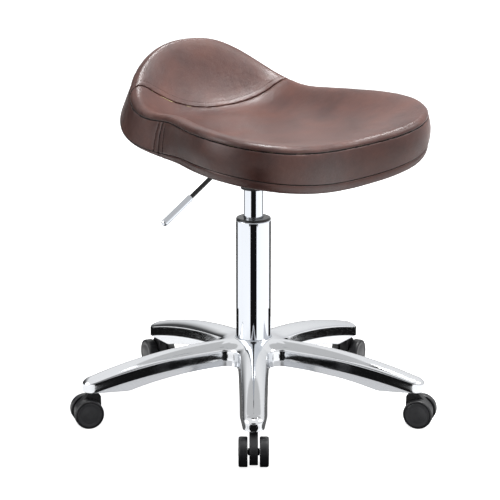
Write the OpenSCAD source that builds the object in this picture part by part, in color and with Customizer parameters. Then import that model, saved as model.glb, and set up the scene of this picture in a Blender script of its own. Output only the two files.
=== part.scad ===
// Salon stool: saddle-shaped padded seat with a raised back, gas lift column,
// five-armed chromed base on twin-wheel casters. Millimetres, +Z up.
// The origin is on the floor under the column; the sitter faces -Y.

/* [Casters] */
// Diameter of each caster wheel
wheel_d = 42; // [38:1:46]
// Width of one wheel's tread
wheel_w = 12.8; // [11:0.1:14]
// Thickness of the caster's centre body
housing_t = 11.9; // [11.5:0.1:13]
// See-through gap between the centre body and each wheel
wheel_gap = 2.3; // [1.5:0.1:3]
// Height from the floor to the socket face under the arm tip
caster_h = 51; // [50:0.5:55]
// Distance the axle trails behind the stem
trail = 9; // [7:0.5:11]
// Axle diameter
axle_d = 6; // [5:0.5:7]
// Diameter of the stem in the arm's socket
stem_d = 11; // [10:0.5:12]
// Length of the stem in the arm's socket
stem_len = 18; // [12:1:20]
// Diameter of the stem's lower end, which the centre body turns on
pintle_d = 8; // [7:0.5:8.5]
// Diameter of the bright collar between socket and centre body
collar_d = 13; // [12.5:0.5:16]

/* [Base] */
// Radius from the column to each caster stem
stem_circle = 239.5; // [220:0.5:260]
// Direction of the first arm
base_turn = -130; // [-180:1:180]
// Height of the hub's top above the socket faces
arm_rise = 58; // [52:1:64]
// Length of the hub
hub_len = 35; // [35:1:58]
// Wall of the hub round the column
hub_wall = 8; // [6:0.5:12]
// Fall of an arm's back between hub and stem
arm_fall = 36; // [30:1:40]
// Depth of an arm at the hub
arm_depth = 33; // [28:1:36]
// Width of an arm at its tip
tip_w = 29; // [26:0.5:34]
// Width of an arm near the hub
root_w = 44; // [34:1:46]
// Widening of each side of an arm where it runs into the hub
web_flare = 10; // [4:1:14]
// Length over which the arms widen outside the hub
web_len = 34; // [28:1:40]
// Wall of the hollow arm
arm_wall = 4; // [3:0.5:6]
// Height of the arm's rounded back
arm_crown = 11; // [8:1:14]

/* [Column] */
// Outer diameter of the standing tube
tube_d = 50; // [48:1:54]
// Wall of the standing tube
tube_wall = 1.5; // [1:0.1:2]
// Length of the standing tube
tube_len = 212; // [205:1:260]
// Length of tube that stands out below the hub
tube_below = 3; // [3:1:8]
// Loss of radius along the tapered foot of the tube
tube_taper = 0.6; // [0.3:0.1:1]
// Floor plate of the tube
tube_floor = 3; // [2:0.5:4]
// Length of the guide bush
bush_len = 80; // [60:1:85]
// Height of the bush's lip over the tube
bush_lip = 3; // [2:0.5:5]
// Travel of the gas lift
stroke = 120; // [90:5:130]
// Outer diameter of the gas cylinder
cylinder_d = 28; // [26:0.5:28.5]
// Wall of the gas cylinder
cylinder_wall = 2; // [1.5:0.1:2.5]
// Length of cylinder between bush and seat socket when lowest
cylinder_show = 42; // [30:1:60]
// Diameter of the piston rod
rod_d = 10; // [9:0.5:12]
// Diameter of the rod's lower end
rod_foot_d = 8; // [7:0.5:8.5]
// Thickness of the thrust bearing
bearing_t = 6; // [4:0.5:8]
// Height of the rubber bumper
bumper_h = 10; // [6:1:14]
// Diameter of the valve button
button_d = 8; // [6:0.5:9]
// Height of the valve button above the cylinder
button_show = 4; // [3.5:0.5:6]

/* [Seat plate and lever] */
// Length of the tapered socket
socket_len = 32; // [26:1:38]
// Wall of the tapered socket
socket_wall = 4; // [3:0.5:6]
// Clear height of the channel that carries the lever
channel_h = 17; // [16:0.5:22]
// Outside width of the channel
channel_w = 62; // [56:1:66]
// Length of the channel
channel_len = 100; // [90:1:110]
// Thickness of the plate and channel
plate_t = 3; // [2:0.5:4]
// Length of the plate from front to back
plate_len = 150; // [140:1:156]
// Width of the plate
plate_w = 124; // [116:1:130]
// Bolt spacing from front to back
bolt_span_y = 124; // [112:1:126]
// Distance of the bolts inside the plate's sides
bolt_in = 13; // [11:0.5:16]
// Bolt shank diameter
bolt_d = 6; // [5:0.5:8]
// Distance from the button to the lever's pivot
pivot_x = 28; // [24:1:32]
// Lever rod diameter
lever_d = 6.5; // [5:0.5:7]
// Distance from the column to the bend of the lever
bend_x = 57; // [52:1:60]
// Slope of the lever below its bend
lever_slope = 31.7; // [25:0.5:38]
// Distance from the column to the lever's end
lever_reach = 164.5; // [150:0.5:190]
// Length of the lever's grip
grip_len = 59; // [45:1:70]
// Diameter of the lever's grip
grip_d = 10; // [9:0.5:14]
// Diameter of the pivot pin
pin_d = 5; // [4:0.5:6]

/* [Seat] */
// Distance of the seat's middle ahead of the column
seat_ahead = 22; // [16:1:28]
// Reach of the seam in front
reach_front = 183; // [175:1:195]
// Reach of the seam at the front corners
reach_front_corner = 231; // [221:1:241]
// Reach of the seam at the sides
reach_side = 158; // [152:1:168]
// Reach of the seam at the rear corners
reach_rear_corner = 188; // [180:1:198]
// Reach of the seam at the rear
reach_rear = 187; // [180:1:197]
// Height of the front seam above the dish
rise_front = 6; // [3:1:12]
// Height of the front corner seam above the dish
rise_front_corner = 25; // [20:1:32]
// Height of the side seam above the dish
rise_side = 25; // [20:1:32]
// Height of the rear corner seam above the dish
rise_rear_corner = 40; // [32:1:46]
// Height of the rear seam above the dish
rise_rear = 96; // [84:1:104]
// Steepness of the dish towards the front, from 2, a bowl, to 9, a wall
steep_front = 3; // [2:0.5:5]
// Steepness of the dish towards the sides
steep_side = 5; // [3:0.5:6]
// Steepness of the dish towards the back
steep_rear = 8; // [6:0.5:9]
// Radius of the rolled edge between top and band
edge_roll = 9; // [7:0.5:11]
// Height of the band between its seams in front
band_front = 46; // [42:1:50]
// Height of the band at the front corners
band_front_corner = 43; // [39:1:47]
// Height of the band at the sides
band_side = 34; // [31:1:38]
// Height of the band at the rear corners
band_rear_corner = 31; // [28:1:36]
// Height of the band at the rear
band_rear = 36; // [32:1:40]
// Swell of the band at mid height
band_bulge = 3.5; // [0:0.5:5]
// Lean of the band's foot outwards in front, negative inwards
flare_front = -2; // [-4:0.5:4]
// Lean of the band's foot outwards at the front corners
flare_front_corner = 0; // [-3:0.5:4]
// Lean of the band's foot outwards at the sides
flare_side = 9; // [5:0.5:11]
// Lean of the band's foot outwards at the rear corners
flare_rear_corner = 12; // [7:0.5:14]
// Lean of the band's foot outwards at the rear
flare_rear = 9; // [5:0.5:11]
// Radius of the turn under the band
turn_r = 9; // [7:0.5:10]
// Width of cover fastened under the board
turn_in = 14; // [12:1:20]
// Thickness of the cover
skin = 1.5; // [1.2:0.1:2]
// Slack between cover and foam
slack = 2.4; // [1:0.1:3]
// Thickness of the seat board
board_t = 12; // [10:1:15]
// Thickness of foam under the middle of the dish
foam_mid = 23.5; // [20:0.5:34]
// Distance of the board's edge inside the turn
board_inset = 3.5; // [2:0.5:5]
// Distance of the cross seam behind the seat's middle
cross_back = 126; // [118:1:130]
// Bow of the cross seam towards its ends
cross_bow = 2; // [0:1:8]
// Angle of each band joint from the front
band_joint = 104; // [95:1:115]
// Thickness of the cloth under the seat
cloth_t = 0.8; // [0.5:0.1:1.2]
// Length of the staples that hold cover and cloth
staple_w = 10; // [8:1:12]

/* [Hidden] */
arm_count = 5;
steer = [0, 3, 12, -12, -3];
caster_parts = ["housing", "stem", "axle", "wheel_left", "wheel_right"];
$fn = 48;

fit = 0.05;
face_gap = 0.2;
// Swell of the lever where it is bent
knuckle = 0.3;
rest_gap = 0.3;

// Casters
axle_z = wheel_d/2;
housing_r = wheel_d/2 - 2.5;
collar_t = 1.5;
housing_top = caster_h - collar_t - face_gap;
wheel_in = housing_t/2 + wheel_gap;
rim_t = 3;
wheel_face_t = 3.5;
groove_d = 0.8;
boss_r = axle_d/2 + 3;

// Base
hub_top = caster_h + arm_rise;
hub_bottom = hub_top - hub_len;
hub_r = tube_d/2 + hub_wall;
// Bevel round the hub's foot
hub_bevel = 1;
// Swell of the arm's round tip over its sides and back
tip_swell = 0.4;
tip_boss_r = tip_w/2 + tip_swell;
// The arms start deep in the hub, where the column's seat cuts them off
arm_start = 10;

// Column
tube_bottom = hub_bottom - tube_below;
tube_top = tube_bottom + tube_len;
bush_r = tube_d/2 - tube_wall;
shoulder_z = tube_bottom + tube_floor + bearing_t + face_gap;
cylinder_bottom = shoulder_z + bumper_h + rest_gap;
guide_t = 10;
socket_bottom = tube_top + bush_lip + cylinder_show;
socket_top = socket_bottom + socket_len;
cylinder_top = socket_top + 1;
cylinder_taper = 1;
cap_t = 22;
piston_t = 12;
// The rod guide rises to the piston over the whole stroke
piston_top = cylinder_bottom + guide_t + stroke + rest_gap + piston_t;
clip_t = 1.2;
bearing_w = 10;
button_travel = 3;
button_len = 14;

// Seat plate and lever
button_top = cylinder_top + button_show;
lever_z = button_top + rest_gap + lever_d/2;
plate_z = socket_top + channel_h;
board_z = plate_z + plate_t;
lever_hub_r = lever_d/2 + 2;
lever_side = channel_w/2 - plate_t - 0.5;
// Room beside the lever in the notch of the plate's side
notch_room = 2.5;
bolt_head_h = 4;
bolt_span_x = plate_w - 2*bolt_in;
washer_t = 1.6;
t_flange_t = 1.5;
t_barrel_r = bolt_d/2 + 1;
t_flange_r = bolt_d/2 + 6;

// Seat heights
board_top = board_z + board_t;
dish_z = board_top + foam_mid + skin;
flat_share = 0.62;
sides = 45;
// Gap under the board, taken up by the turned-in cover's bow
under_gap = 0.8;
// Gap between foam and board
foam_gap = 0.5;
// The same over the board's edge, where it slopes the most
rim_room = 1.8;
// Gap between the turned-in cover and the cloth below it
cloth_gap = 0.3;
ring_angles = [for (i = [0:sides - 1]) 360*i/sides];

// Value at angle a of an even curve through five values at 0, 45, 90, 135 and 180 degrees
function even5(v, a) =
    (v[0]/2 + v[1] + v[2] + v[3] + v[4]/2)/4
    + (v[0]/2 + v[1]*cos(45) - v[3]*cos(45) - v[4]/2)/2*cos(a)
    + (v[0]/2 - v[2] + v[4]/2)/2*cos(2*a)
    + (v[0]/2 - v[1]*cos(45) + v[3]*cos(45) - v[4]/2)/2*cos(3*a)
    + (v[0] - 2*v[1] + 2*v[2] - 2*v[3] + v[4])/8*cos(4*a);
// The same through three values at 0, 90 and 180 degrees
function even3(v, a) =
    (v[0] + 2*v[1] + v[2])/4 + (v[0] - v[2])/2*cos(a) + (v[0] - 2*v[1] + v[2])/4*cos(2*a);
function clamp01(t) = max(0, min(1, t));

// Seat outline: angle a runs from the front (-Y) towards +X
function reach(a) =
    even5([reach_front, reach_front_corner, reach_side, reach_rear_corner, reach_rear], a);
function rise(a) =
    even5([rise_front, rise_front_corner, rise_side, rise_rear_corner, rise_rear], a);
function steep(a) = even3([steep_front, steep_side, steep_rear], a);
function flare(a) =
    even5([flare_front, flare_front_corner, flare_side, flare_rear_corner, flare_rear], a);
function band_h(a) = even5([band_front, band_front_corner, band_side, band_rear_corner, band_rear], a);
function at(a, r, z) = [r*sin(a), -seat_ahead - r*cos(a), z];
function dish(a, share) =
    dish_z + (rise(a) + edge_roll)*(1 - pow(1 - pow(share, steep(a)), 2));
function seam_z(a) = dish_z + rise(a);
function turn_edge(a) = reach(a) - turn_r + flare(a);
// Height of the board's underside at radius r
function board_under(a, r) =
    let (t = clamp01((r/turn_edge(a) - flat_share)/(1 - flat_share)))
    board_z + (seam_z(a) - band_h(a) - turn_r + skin - board_z)*pow(t, 1.6);

// A point of the cover at angle a, d inside its outer face. Along s the section runs over the
// dish (0 to 1), the rolled edge (1 to 2), the band (2 to 3), the turn (3 to 4) and in under
// the board (4 to 5).
function cover(a, s, d) =
    s <= 1 ? at(a, s*(reach(a) - edge_roll), dish(a, s) - d) :
    s <= 2 ? at(a, reach(a) - edge_roll + (edge_roll - d)*sin(90*(s - 1)),
                seam_z(a) + (edge_roll - d)*cos(90*(s - 1))) :
    s <= 3 ? at(a, reach(a) - d + band_bulge*sin(180*(s - 2)) + flare(a)*(s - 2),
                seam_z(a) - band_h(a)*(s - 2)) :
    s <= 4 ? at(a, turn_edge(a) + (turn_r - d)*cos(90*(s - 3)),
                seam_z(a) - band_h(a) - (turn_r - d)*sin(90*(s - 3))) :
    let (r = turn_edge(a) - turn_in*(s - 4))
    at(a, r, board_under(a, r) - skin - under_gap + d);

dish_steps = [0.3, 0.5, 0.62, 0.7, 0.77, 0.83, 0.88, 0.92, 0.96, 1];
roll_steps = [1.35, 1.7, 2];
band_steps = [2, 2.3, 2.6, 3, 3.35, 3.7, 4];

// Slit between sewn panels
seam_gap = 0.8;

// Share of the section at which the cross seam lies, for angles near the back
function cross_share(a) =
    let (b = abs(a - 180), t = b/45)
    (cross_back - cross_bow*t*t)/cos(b)/(reach(a) - edge_roll);
// Angle from the back at which the cross seam reaches the rim
corner = max([for (b = [30:0.5:52]) if (cross_share(180 + b) < 0.97) b]);

// Solid between a stack of rings, closed by a point at each end. From ring number back on, the
// rings return under the first ones, and their triangles split the same way as those above.
module ring_solid(rings, first, last, back) {
    n = len(rings[0]);
    m = len(rings);
    pts = concat([first], [for (ring = rings) each ring], [last]);
    polyhedron(pts, concat(
        [for (i = [0:n - 1]) [0, 1 + (i + 1)%n, 1 + i]],
        [for (k = [0:m - 2]) for (i = [0:n - 1])
            let (a = 1 + k*n + i, b = 1 + k*n + (i + 1)%n)
            each k < back ? [[a, b, b + n], [a, b + n, a + n]] : [[a, b, a + n], [b, b + n, a + n]]],
        [for (i = [0:n - 1]) [1 + m*n, 1 + (m - 1)*n + i, 1 + (m - 1)*n + (i + 1)%n]]),
        convexity = 6);
}

// Solid whose section is a closed loop of points, swept through a row of sections; shut at
// both ends, or joined round to the first when it is a ring. Where turned is true for a side
// of the loop, its triangles split along the other diagonal.
module sweep(sections, ring = false, turned = []) {
    n = len(sections[0]);
    m = len(sections);
    polyhedron([for (s = sections) each s], concat(
        [for (k = [0:(ring ? m - 1 : m - 2)]) for (i = [0:n - 1])
            let (a = k*n + i, b = k*n + (i + 1)%n, c = ((k + 1)%m)*n + (i + 1)%n, d = ((k + 1)%m)*n + i)
            each turned[i] == true ? [[a, b, d], [b, c, d]] : [[a, b, c], [a, c, d]]],
        ring ? [] : [[for (i = [n - 1:-1:0]) i], [for (i = [0:n - 1]) (m - 1)*n + i]]),
        convexity = 6);
}

// A panel of cover between two lists of steps at each angle
function slab(a, steps) = concat(
    [for (s = steps) cover(a, s, 0)],
    [for (i = [len(steps) - 1:-1:0]) cover(a, steps[i], skin)]);
// Sides of a panel's loop whose triangles are turned, so that they match what they lie on
function slab_turns(steps) = let (n = len(steps)) concat(
    [for (i = [1:n - 1]) steps[i] > 4], [false], [for (i = [n - 1:-1:1]) steps[i] <= 4], [false]);

// Base
function arm_top(r) = hub_top - 0.5 - arm_fall*pow(r/stem_circle, 2.2);
function arm_foot(r) = max(caster_h, hub_top - arm_depth - 5*pow(r*2.45/stem_circle, 2.4));
function arm_half(r) =
    tip_w/2 + (root_w - tip_w)/2*(1 - r/stem_circle)
    + web_flare*pow(clamp01((hub_r + web_len - r)/web_len), 2);
lip_bevel = 0.6;
// Section of an arm at radius r: an arched channel, open below
function arm_section(r) =
    let (w = arm_half(r), top = arm_top(r), foot = arm_foot(r), inner = w - arm_wall)
    concat(
        [[r, -w, foot]],
        [for (f = [180:-22.5:0]) [r, w*cos(f), top - arm_crown + arm_crown*sin(f)]],
        [[r, w, foot], [r, inner, foot + lip_bevel]],
        [for (f = [0:36:180])
            [r, inner*cos(f), top - arm_crown - 1 + (arm_crown + 1 - arm_wall)*sin(f)]],
        [[r, -inner, foot + lip_bevel]]);
tip_top = arm_top(stem_circle) + tip_swell;
arm_steps = [0, 0.05, 0.1, 0.16, 0.24, 0.36, 0.5, 0.64, 0.76, 0.88, 1];

module star_base() {
    color("gainsboro") difference() {
        union() {
            rotate_extrude() polygon([
                [0, hub_bottom], [hub_r - hub_bevel, hub_bottom], [hub_r, hub_bottom + hub_bevel],
                [hub_r, hub_top - 9], [hub_r - 3, hub_top - 3], [tube_d/2 + 1.5, hub_top], [0, hub_top]]);
            for (k = [0:arm_count - 1]) rotate([0, 0, base_turn + 360*k/arm_count]) {
                sweep([for (t = arm_steps) arm_section(arm_start + (stem_circle - arm_start)*t)]);
                translate([stem_circle, 0, 0]) rotate_extrude() polygon([
                    [0, caster_h], [tip_boss_r, caster_h], [tip_boss_r, tip_top - arm_crown],
                    [tip_boss_r*0.92, tip_top - arm_crown*0.62],
                    [tip_boss_r*0.7, tip_top - arm_crown*0.28],
                    [tip_boss_r*0.38, tip_top - arm_crown*0.07], [0, tip_top]]);
            }
        }
        tube_shape(tube_d/2, tube_d/2 - tube_taper, 1);
        for (k = [0:arm_count - 1]) rotate([0, 0, base_turn + 360*k/arm_count])
            translate([stem_circle, 0, caster_h - 1]) cylinder(h = stem_len + 2, d = stem_d + 2*fit);
    }
}

// Outside of the standing tube: tapered where it sits in the hub
module tube_shape(top_r, foot_r, over) {
    rotate_extrude() polygon([
        [0, tube_bottom], [foot_r, tube_bottom], [top_r, hub_top], [top_r, tube_top + over],
        [0, tube_top + over]]);
}

module outer_tube() {
    color("silver") difference() {
        tube_shape(tube_d/2, tube_d/2 - tube_taper, 0);
        translate([0, 0, tube_bottom + tube_floor])
            cylinder(h = hub_top - tube_bottom - tube_floor, r = bush_r - tube_taper);
        translate([0, 0, hub_top]) cylinder(h = tube_len, r = bush_r);
        translate([0, 0, tube_bottom - 1]) cylinder(h = tube_floor + 2, d = rod_foot_d + 2*fit);
    }
}

module guide_bush() {
    color("dimgray") difference() {
        union() {
            translate([0, 0, tube_top - bush_len]) cylinder(h = bush_len, r = bush_r - fit);
            rotate_extrude() polygon([
                [0, tube_top], [tube_d/2 - 0.4, tube_top], [tube_d/2 - 0.4, tube_top + 1],
                [tube_d/2 - bush_lip, tube_top + bush_lip], [0, tube_top + bush_lip]]);
        }
        translate([0, 0, tube_top - bush_len - 1])
            cylinder(h = bush_len + bush_lip + 2, d = cylinder_d + 2*fit);
    }
}

module thrust_bearing() {
    color("darkgray") difference() {
        translate([0, 0, tube_bottom + tube_floor]) cylinder(h = bearing_t, r = rod_foot_d/2 + bearing_w);
        translate([0, 0, tube_bottom + tube_floor - 1])
            cylinder(h = bearing_t + 2, d = rod_foot_d + 2*fit);
    }
}

module piston_rod() {
    color("lightgray") rotate_extrude() polygon([
        [0, tube_bottom - 2*clip_t - 3], [rod_foot_d/2 - 1, tube_bottom - 2*clip_t - 3],
        [rod_foot_d/2, tube_bottom - 2*clip_t - 2], [rod_foot_d/2, tube_bottom - clip_t - face_gap],
        [rod_foot_d/2 - 0.8, tube_bottom - clip_t - face_gap],
        [rod_foot_d/2 - 0.8, tube_bottom - face_gap], [rod_foot_d/2, tube_bottom - face_gap],
        [rod_foot_d/2, shoulder_z], [rod_d/2, shoulder_z], [rod_d/2, piston_top - piston_t],
        [rod_d/2 - 1.5, piston_top - piston_t], [rod_d/2 - 1.5, piston_top], [0, piston_top]]);
}

module retaining_clip() {
    color("gray") translate([0, 0, tube_bottom - clip_t - face_gap]) difference() {
        cylinder(h = clip_t, d = rod_foot_d + 8);
        translate([0, 0, -1]) cylinder(h = clip_t + 2, d = rod_foot_d - 1.6);
        translate([0, -rod_foot_d/4, -1]) cube([rod_foot_d + 8, rod_foot_d/2, clip_t + 2]);
    }
}

module bumper() {
    color("black") translate([0, 0, shoulder_z]) difference() {
        cylinder(h = bumper_h, d = cylinder_d - 1);
        translate([0, 0, -1]) cylinder(h = bumper_h + 2, d = rod_d);
    }
}

module piston() {
    color("darkgray") translate([0, 0, piston_top - piston_t]) difference() {
        cylinder(h = piston_t, r = cylinder_d/2 - cylinder_wall - fit);
        translate([0, 0, -1]) cylinder(h = piston_t + 2, r = rod_d/2 - 1.5);
    }
}

// Outside of the gas cylinder: straight in the bush, tapered in the seat socket
module cylinder_shape() {
    rotate_extrude() polygon([
        [0, cylinder_bottom], [cylinder_d/2, cylinder_bottom], [cylinder_d/2, socket_bottom],
        [cylinder_d/2 - cylinder_taper, cylinder_top], [0, cylinder_top]]);
}

module gas_cylinder() {
    color("silver") difference() {
        cylinder_shape();
        translate([0, 0, cylinder_bottom - 1])
            cylinder(h = cylinder_top - cap_t - cylinder_bottom + 1, r = cylinder_d/2 - cylinder_wall);
        translate([0, 0, button_top - button_len - button_travel - 1])
            cylinder(h = button_len + button_travel + 2, d = button_d + 2*fit);
    }
}

module rod_guide() {
    color("dimgray") translate([0, 0, cylinder_bottom]) difference() {
        cylinder(h = guide_t, r = cylinder_d/2 - cylinder_wall);
        translate([0, 0, -1]) cylinder(h = guide_t + 2, d = rod_d + 2*fit);
    }
}

module valve_button() {
    color("gray") translate([0, 0, button_top - button_len])
        rotate_extrude() polygon([
            [0, 0], [button_d/2, 0], [button_d/2, button_len - 1], [button_d/2 - 1, button_len],
            [0, button_len]]);
}

// Seat plate: plate, lever channel and tapered socket welded together
module seat_plate() {
    color("dimgray") difference() {
        union() {
            translate([-plate_w/2, -plate_len/2, plate_z]) cube([plate_w, plate_len, plate_t]);
            for (side = [-1, 1]) translate([side*(plate_w/2 - plate_t/2) - plate_t/2, -plate_len/2, plate_z - 6])
                cube([plate_t, plate_len, 7]);
            translate([-channel_len/2, -channel_w/2, socket_top])
                cube([channel_len, channel_w, channel_h + 1]);
            cylinder_sleeve();
        }
        translate([-channel_len/2 - 1, -channel_w/2 + plate_t, socket_top + plate_t])
            cube([channel_len + 2, channel_w - 2*plate_t, channel_h - plate_t]);
        cylinder_shape();
        translate([0, 0, socket_top - 1]) cylinder(h = plate_t + 2, r = cylinder_d/2 + 1);
        translate([-pivot_x, channel_w/2 + 1, lever_z]) rotate([90, 0, 0])
            cylinder(h = channel_w + 2, d = pin_d + 2*fit);
        bolt_places() translate([0, 0, plate_z - 1]) cylinder(h = plate_t + 2, d = bolt_d + 0.6);
        translate([-plate_w/2 - 1, -lever_d/2 - notch_room, plate_z - 7])
            cube([plate_t + 2, lever_d + 2*notch_room, 7]);
    }
}

module cylinder_sleeve() {
    translate([0, 0, socket_bottom])
        cylinder(h = socket_len + 1, d = cylinder_d + 2*socket_wall);
}

module bolt_places() {
    for (x = [-1, 1]) for (y = [-1, 1]) translate([x*bolt_span_x/2, y*bolt_span_y/2, 0]) children();
}

module lever_pin() {
    color("silver") translate([-pivot_x, 0, lever_z]) rotate([90, 0, 0]) {
        cylinder(h = channel_w + 1, d = pin_d, center = true);
        for (side = [-1, 1]) translate([0, 0, side*(channel_w/2 + 1)])
            cylinder(h = 1.4, d = pin_d + 3, center = true);
    }
}

// Lever: pivot sleeve with a finger over the button and a bent arm out to the grip
slope_start = [-bend_x, 0, lever_z];
slope_len = (lever_reach - bend_x)/cos(lever_slope);
module along_slope(distance) {
    translate(slope_start) rotate([0, -90 - lever_slope, 0]) translate([0, 0, distance]) children();
}

module release_lever() {
    color("silver") difference() {
        union() {
            translate([-pivot_x, 0, lever_z]) rotate([90, 0, 0])
                cylinder(h = 2*lever_side, r = lever_hub_r, center = true);
            translate([-bend_x, 0, lever_z]) rotate([0, 90, 0])
                cylinder(h = bend_x + button_d/2 - 2, d = lever_d);
            translate(slope_start) sphere(d = lever_d + knuckle);
            along_slope(0) cylinder(h = slope_len - 2, d = lever_d);
        }
        translate([-pivot_x, 0, lever_z]) rotate([90, 0, 0])
            cylinder(h = channel_w + 2, d = pin_d + 2*fit, center = true);
    }
}

module lever_grip() {
    color("black") along_slope(slope_len - grip_len) difference() {
        union() {
            translate([0, 0, 1]) cylinder(h = grip_len - 1 - grip_d/2, d = grip_d);
            cylinder(h = 1, d1 = grip_d - 2, d2 = grip_d);
            translate([0, 0, grip_len - grip_d/2]) sphere(d = grip_d);
        }
        translate([0, 0, -1]) cylinder(h = grip_len - 1, d = lever_d + 2*fit);
    }
}

module seat_bolts() {
    color("silver") bolt_places() {
        translate([0, 0, plate_z - washer_t - bolt_head_h]) cylinder(h = bolt_head_h, d = bolt_d*1.9, $fn = 6);
        translate([0, 0, plate_z - washer_t - 0.5]) cylinder(h = washer_t + plate_t + board_t - 1, d = bolt_d);
    }
}

module spring_washers() {
    color("gray") bolt_places() translate([0, 0, plate_z - washer_t]) difference() {
        cylinder(h = washer_t, d = bolt_d*1.9);
        translate([0, 0, -1]) cylinder(h = washer_t + 2, d = bolt_d + 2*fit);
    }
}

// Flanged nuts sunk into the top of the board
module t_nuts() {
    color("silver") bolt_places() difference() {
        union() {
            translate([0, 0, board_z + 2]) cylinder(h = board_t - 2, r = t_barrel_r);
            translate([0, 0, board_top - t_flange_t]) cylinder(h = t_flange_t, r = t_flange_r);
        }
        translate([0, 0, board_z]) cylinder(h = board_t + 1, d = bolt_d + 2*fit);
    }
}

// Seat
function board_edge(a) = turn_edge(a) - board_inset;
function board_ring(share, lift, out = 0) =
    [for (a = ring_angles) at(a, board_edge(a)*share + out, board_under(a, board_edge(a)*share) + lift)];
board_steps = [0.4, 0.62, 0.74, 0.84, 0.92, 1];
staple_count = 36;
staple_leg = 9;
// Place of the staples on the turned-in cover, from 0 at its fold to 1 at its edge
staple_place = 0.75;

module seat_board() {
    color("burlywood") difference() {
        ring_solid(concat(
                [for (i = [0:len(board_steps) - 1]) board_ring(board_steps[i], board_t)],
                [for (i = [len(board_steps) - 1:-1:0]) board_ring(board_steps[i], 0)]),
            at(0, 0, board_top), at(0, 0, board_z), len(board_steps));
        bolt_places() {
            translate([0, 0, board_z - 1]) cylinder(h = board_t + 2, r = t_barrel_r);
            translate([0, 0, board_top - t_flange_t]) cylinder(h = t_flange_t + 1, r = t_flange_r);
        }
    }
}

module foam_cushion() {
    color("khaki") ring_solid(concat(
            [for (s = concat(dish_steps, roll_steps)) [for (a = ring_angles) cover(a, s, skin + slack)]],
            [for (i = [1:len(band_steps) - 1]) [for (a = ring_angles) cover(a, band_steps[i], skin + slack)]],
            [for (i = [len(board_steps) - 1:-1:0])
                each i == len(board_steps) - 1
                    ? [board_ring(1, rim_room, foam_gap), board_ring(1, board_t + rim_room, foam_gap)]
                    : [board_ring(board_steps[i], board_t + foam_gap)]]),
        at(0, 0, dish_z - skin - slack), at(0, 0, board_top + foam_gap),
        len(panel_steps) + len(band_steps) - 2);
}

// Cover angles: even steps, with a column close on each side of the cross seam's ends
slit = 0.08;
corner_start = 180 - corner;
panel_angles = concat(
    [for (a = [0:8:120]) a],
    [(120 + corner_start)/2, corner_start - slit, corner_start + slit],
    [for (j = [1:9]) corner_start + 2*corner*j/10],
    [360 - corner_start - slit, 360 - corner_start + slit, (240 + 360 - corner_start)/2],
    [for (a = [240:8:352]) a]);
panel_steps = concat(dish_steps, roll_steps);
back_spread = [0.25, 0.42, 0.55, 0.66, 0.74, 0.8, 0.85, 0.89, 0.92, 0.945, 0.965, 0.985, 1];
function seam_share(a) = seam_gap/2/(reach(a) - edge_roll);
function panel_step(a, i) =
    abs(a - 180) > corner ? panel_steps[i] : (cross_share(a) - seam_share(a))*back_spread[i];

module seat_panel() {
    n = len(panel_steps);
    color("saddlebrown") ring_solid(concat(
            [for (i = [0:n - 1]) [for (a = panel_angles) cover(a, panel_step(a, i), 0)]],
            [for (i = [n - 1:-1:0]) [for (a = panel_angles) cover(a, panel_step(a, i), skin)]]),
        at(0, 0, dish_z), at(0, 0, dish_z - skin), n);
}

back_rise = [0, 0.2, 0.38, 0.54, 0.68, 0.8, 0.91, 1];
module back_panel() {
    color("saddlebrown") sweep([
        for (j = [0:12])
            let (a = corner_start + slit + 2*(corner - slit)*j/12,
                 low = cross_share(a) + seam_share(a))
            slab(a, concat([for (t = back_rise) low + (1 - low)*t], roll_steps))],
        turned = slab_turns(concat(back_rise, roll_steps)));
}

// Length of band between two angles, from the seam down and in under the board
band_columns = 360/sides;
module band(from, to) {
    first = ceil(from/band_columns + 0.2);
    last = floor(to/band_columns - 0.2);
    color("saddlebrown") sweep([
        for (a = concat([from], [for (j = [first:last]) j*band_columns], [to]))
            slab(a, concat([2 + seam_gap/band_h(a)], [for (i = [1:len(band_steps) - 1]) band_steps[i]],
                [4.5, 5]))],
        turned = slab_turns(concat(band_steps, [4.5, 5])));
}

module front_band() { band(slit - band_joint, band_joint - slit); }
module rear_band() { band(band_joint + slit, 360 - band_joint - slit); }

function cloth_ring(s, d) = [for (a = ring_angles) cover(a, s, d)];
cloth_steps = [0.4, 0.62, 0.74, 0.84];

module under_cloth() {
    top = -cloth_gap;
    low = top - cloth_t;
    color("black") difference() {
        ring_solid(concat(
                [for (i = [0:3]) board_ring(cloth_steps[i], top - skin - under_gap)],
                [cloth_ring(5, top), cloth_ring(4.5, top), cloth_ring(4.5, low), cloth_ring(5, low)],
                [for (i = [3:-1:0]) board_ring(cloth_steps[i], low - skin - under_gap)]),
            at(0, 0, board_z - skin - under_gap + top), at(0, 0, board_z - skin - under_gap + low),
            len(cloth_steps) + 2);
        translate([-plate_w/2 - 1, -plate_len/2 - 1, plate_z - 4]) cube([plate_w + 2, plate_len + 2, 20]);
    }
}

// Staples through the cloth and the cover into the board
module cover_staples() {
    wire = 0.8;
    color("silver") for (i = [0:staple_count - 1])
        let (a = 360*(i + 0.5)/staple_count, r = turn_edge(a) - turn_in*staple_place)
        translate(at(a, r, board_under(a, r) - skin - under_gap - cloth_gap - cloth_t))
            rotate([0, 0, a]) translate([-staple_w/2, -wire/2, -wire]) {
                cube([staple_w, wire, wire]);
                for (x = [0, staple_w - wire]) translate([x, 0, 0]) cube([wire, wire, staple_leg]);
            }
}

// Casters
module at_caster(k) {
    rotate([0, 0, base_turn + 360*(k - 1)/arm_count]) translate([stem_circle, 0, 0])
        rotate([0, 0, steer[k - 1]]) children();
}
module on_axle() {
    translate([trail, 0, axle_z]) rotate([90, 0, 0]) children();
}

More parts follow.
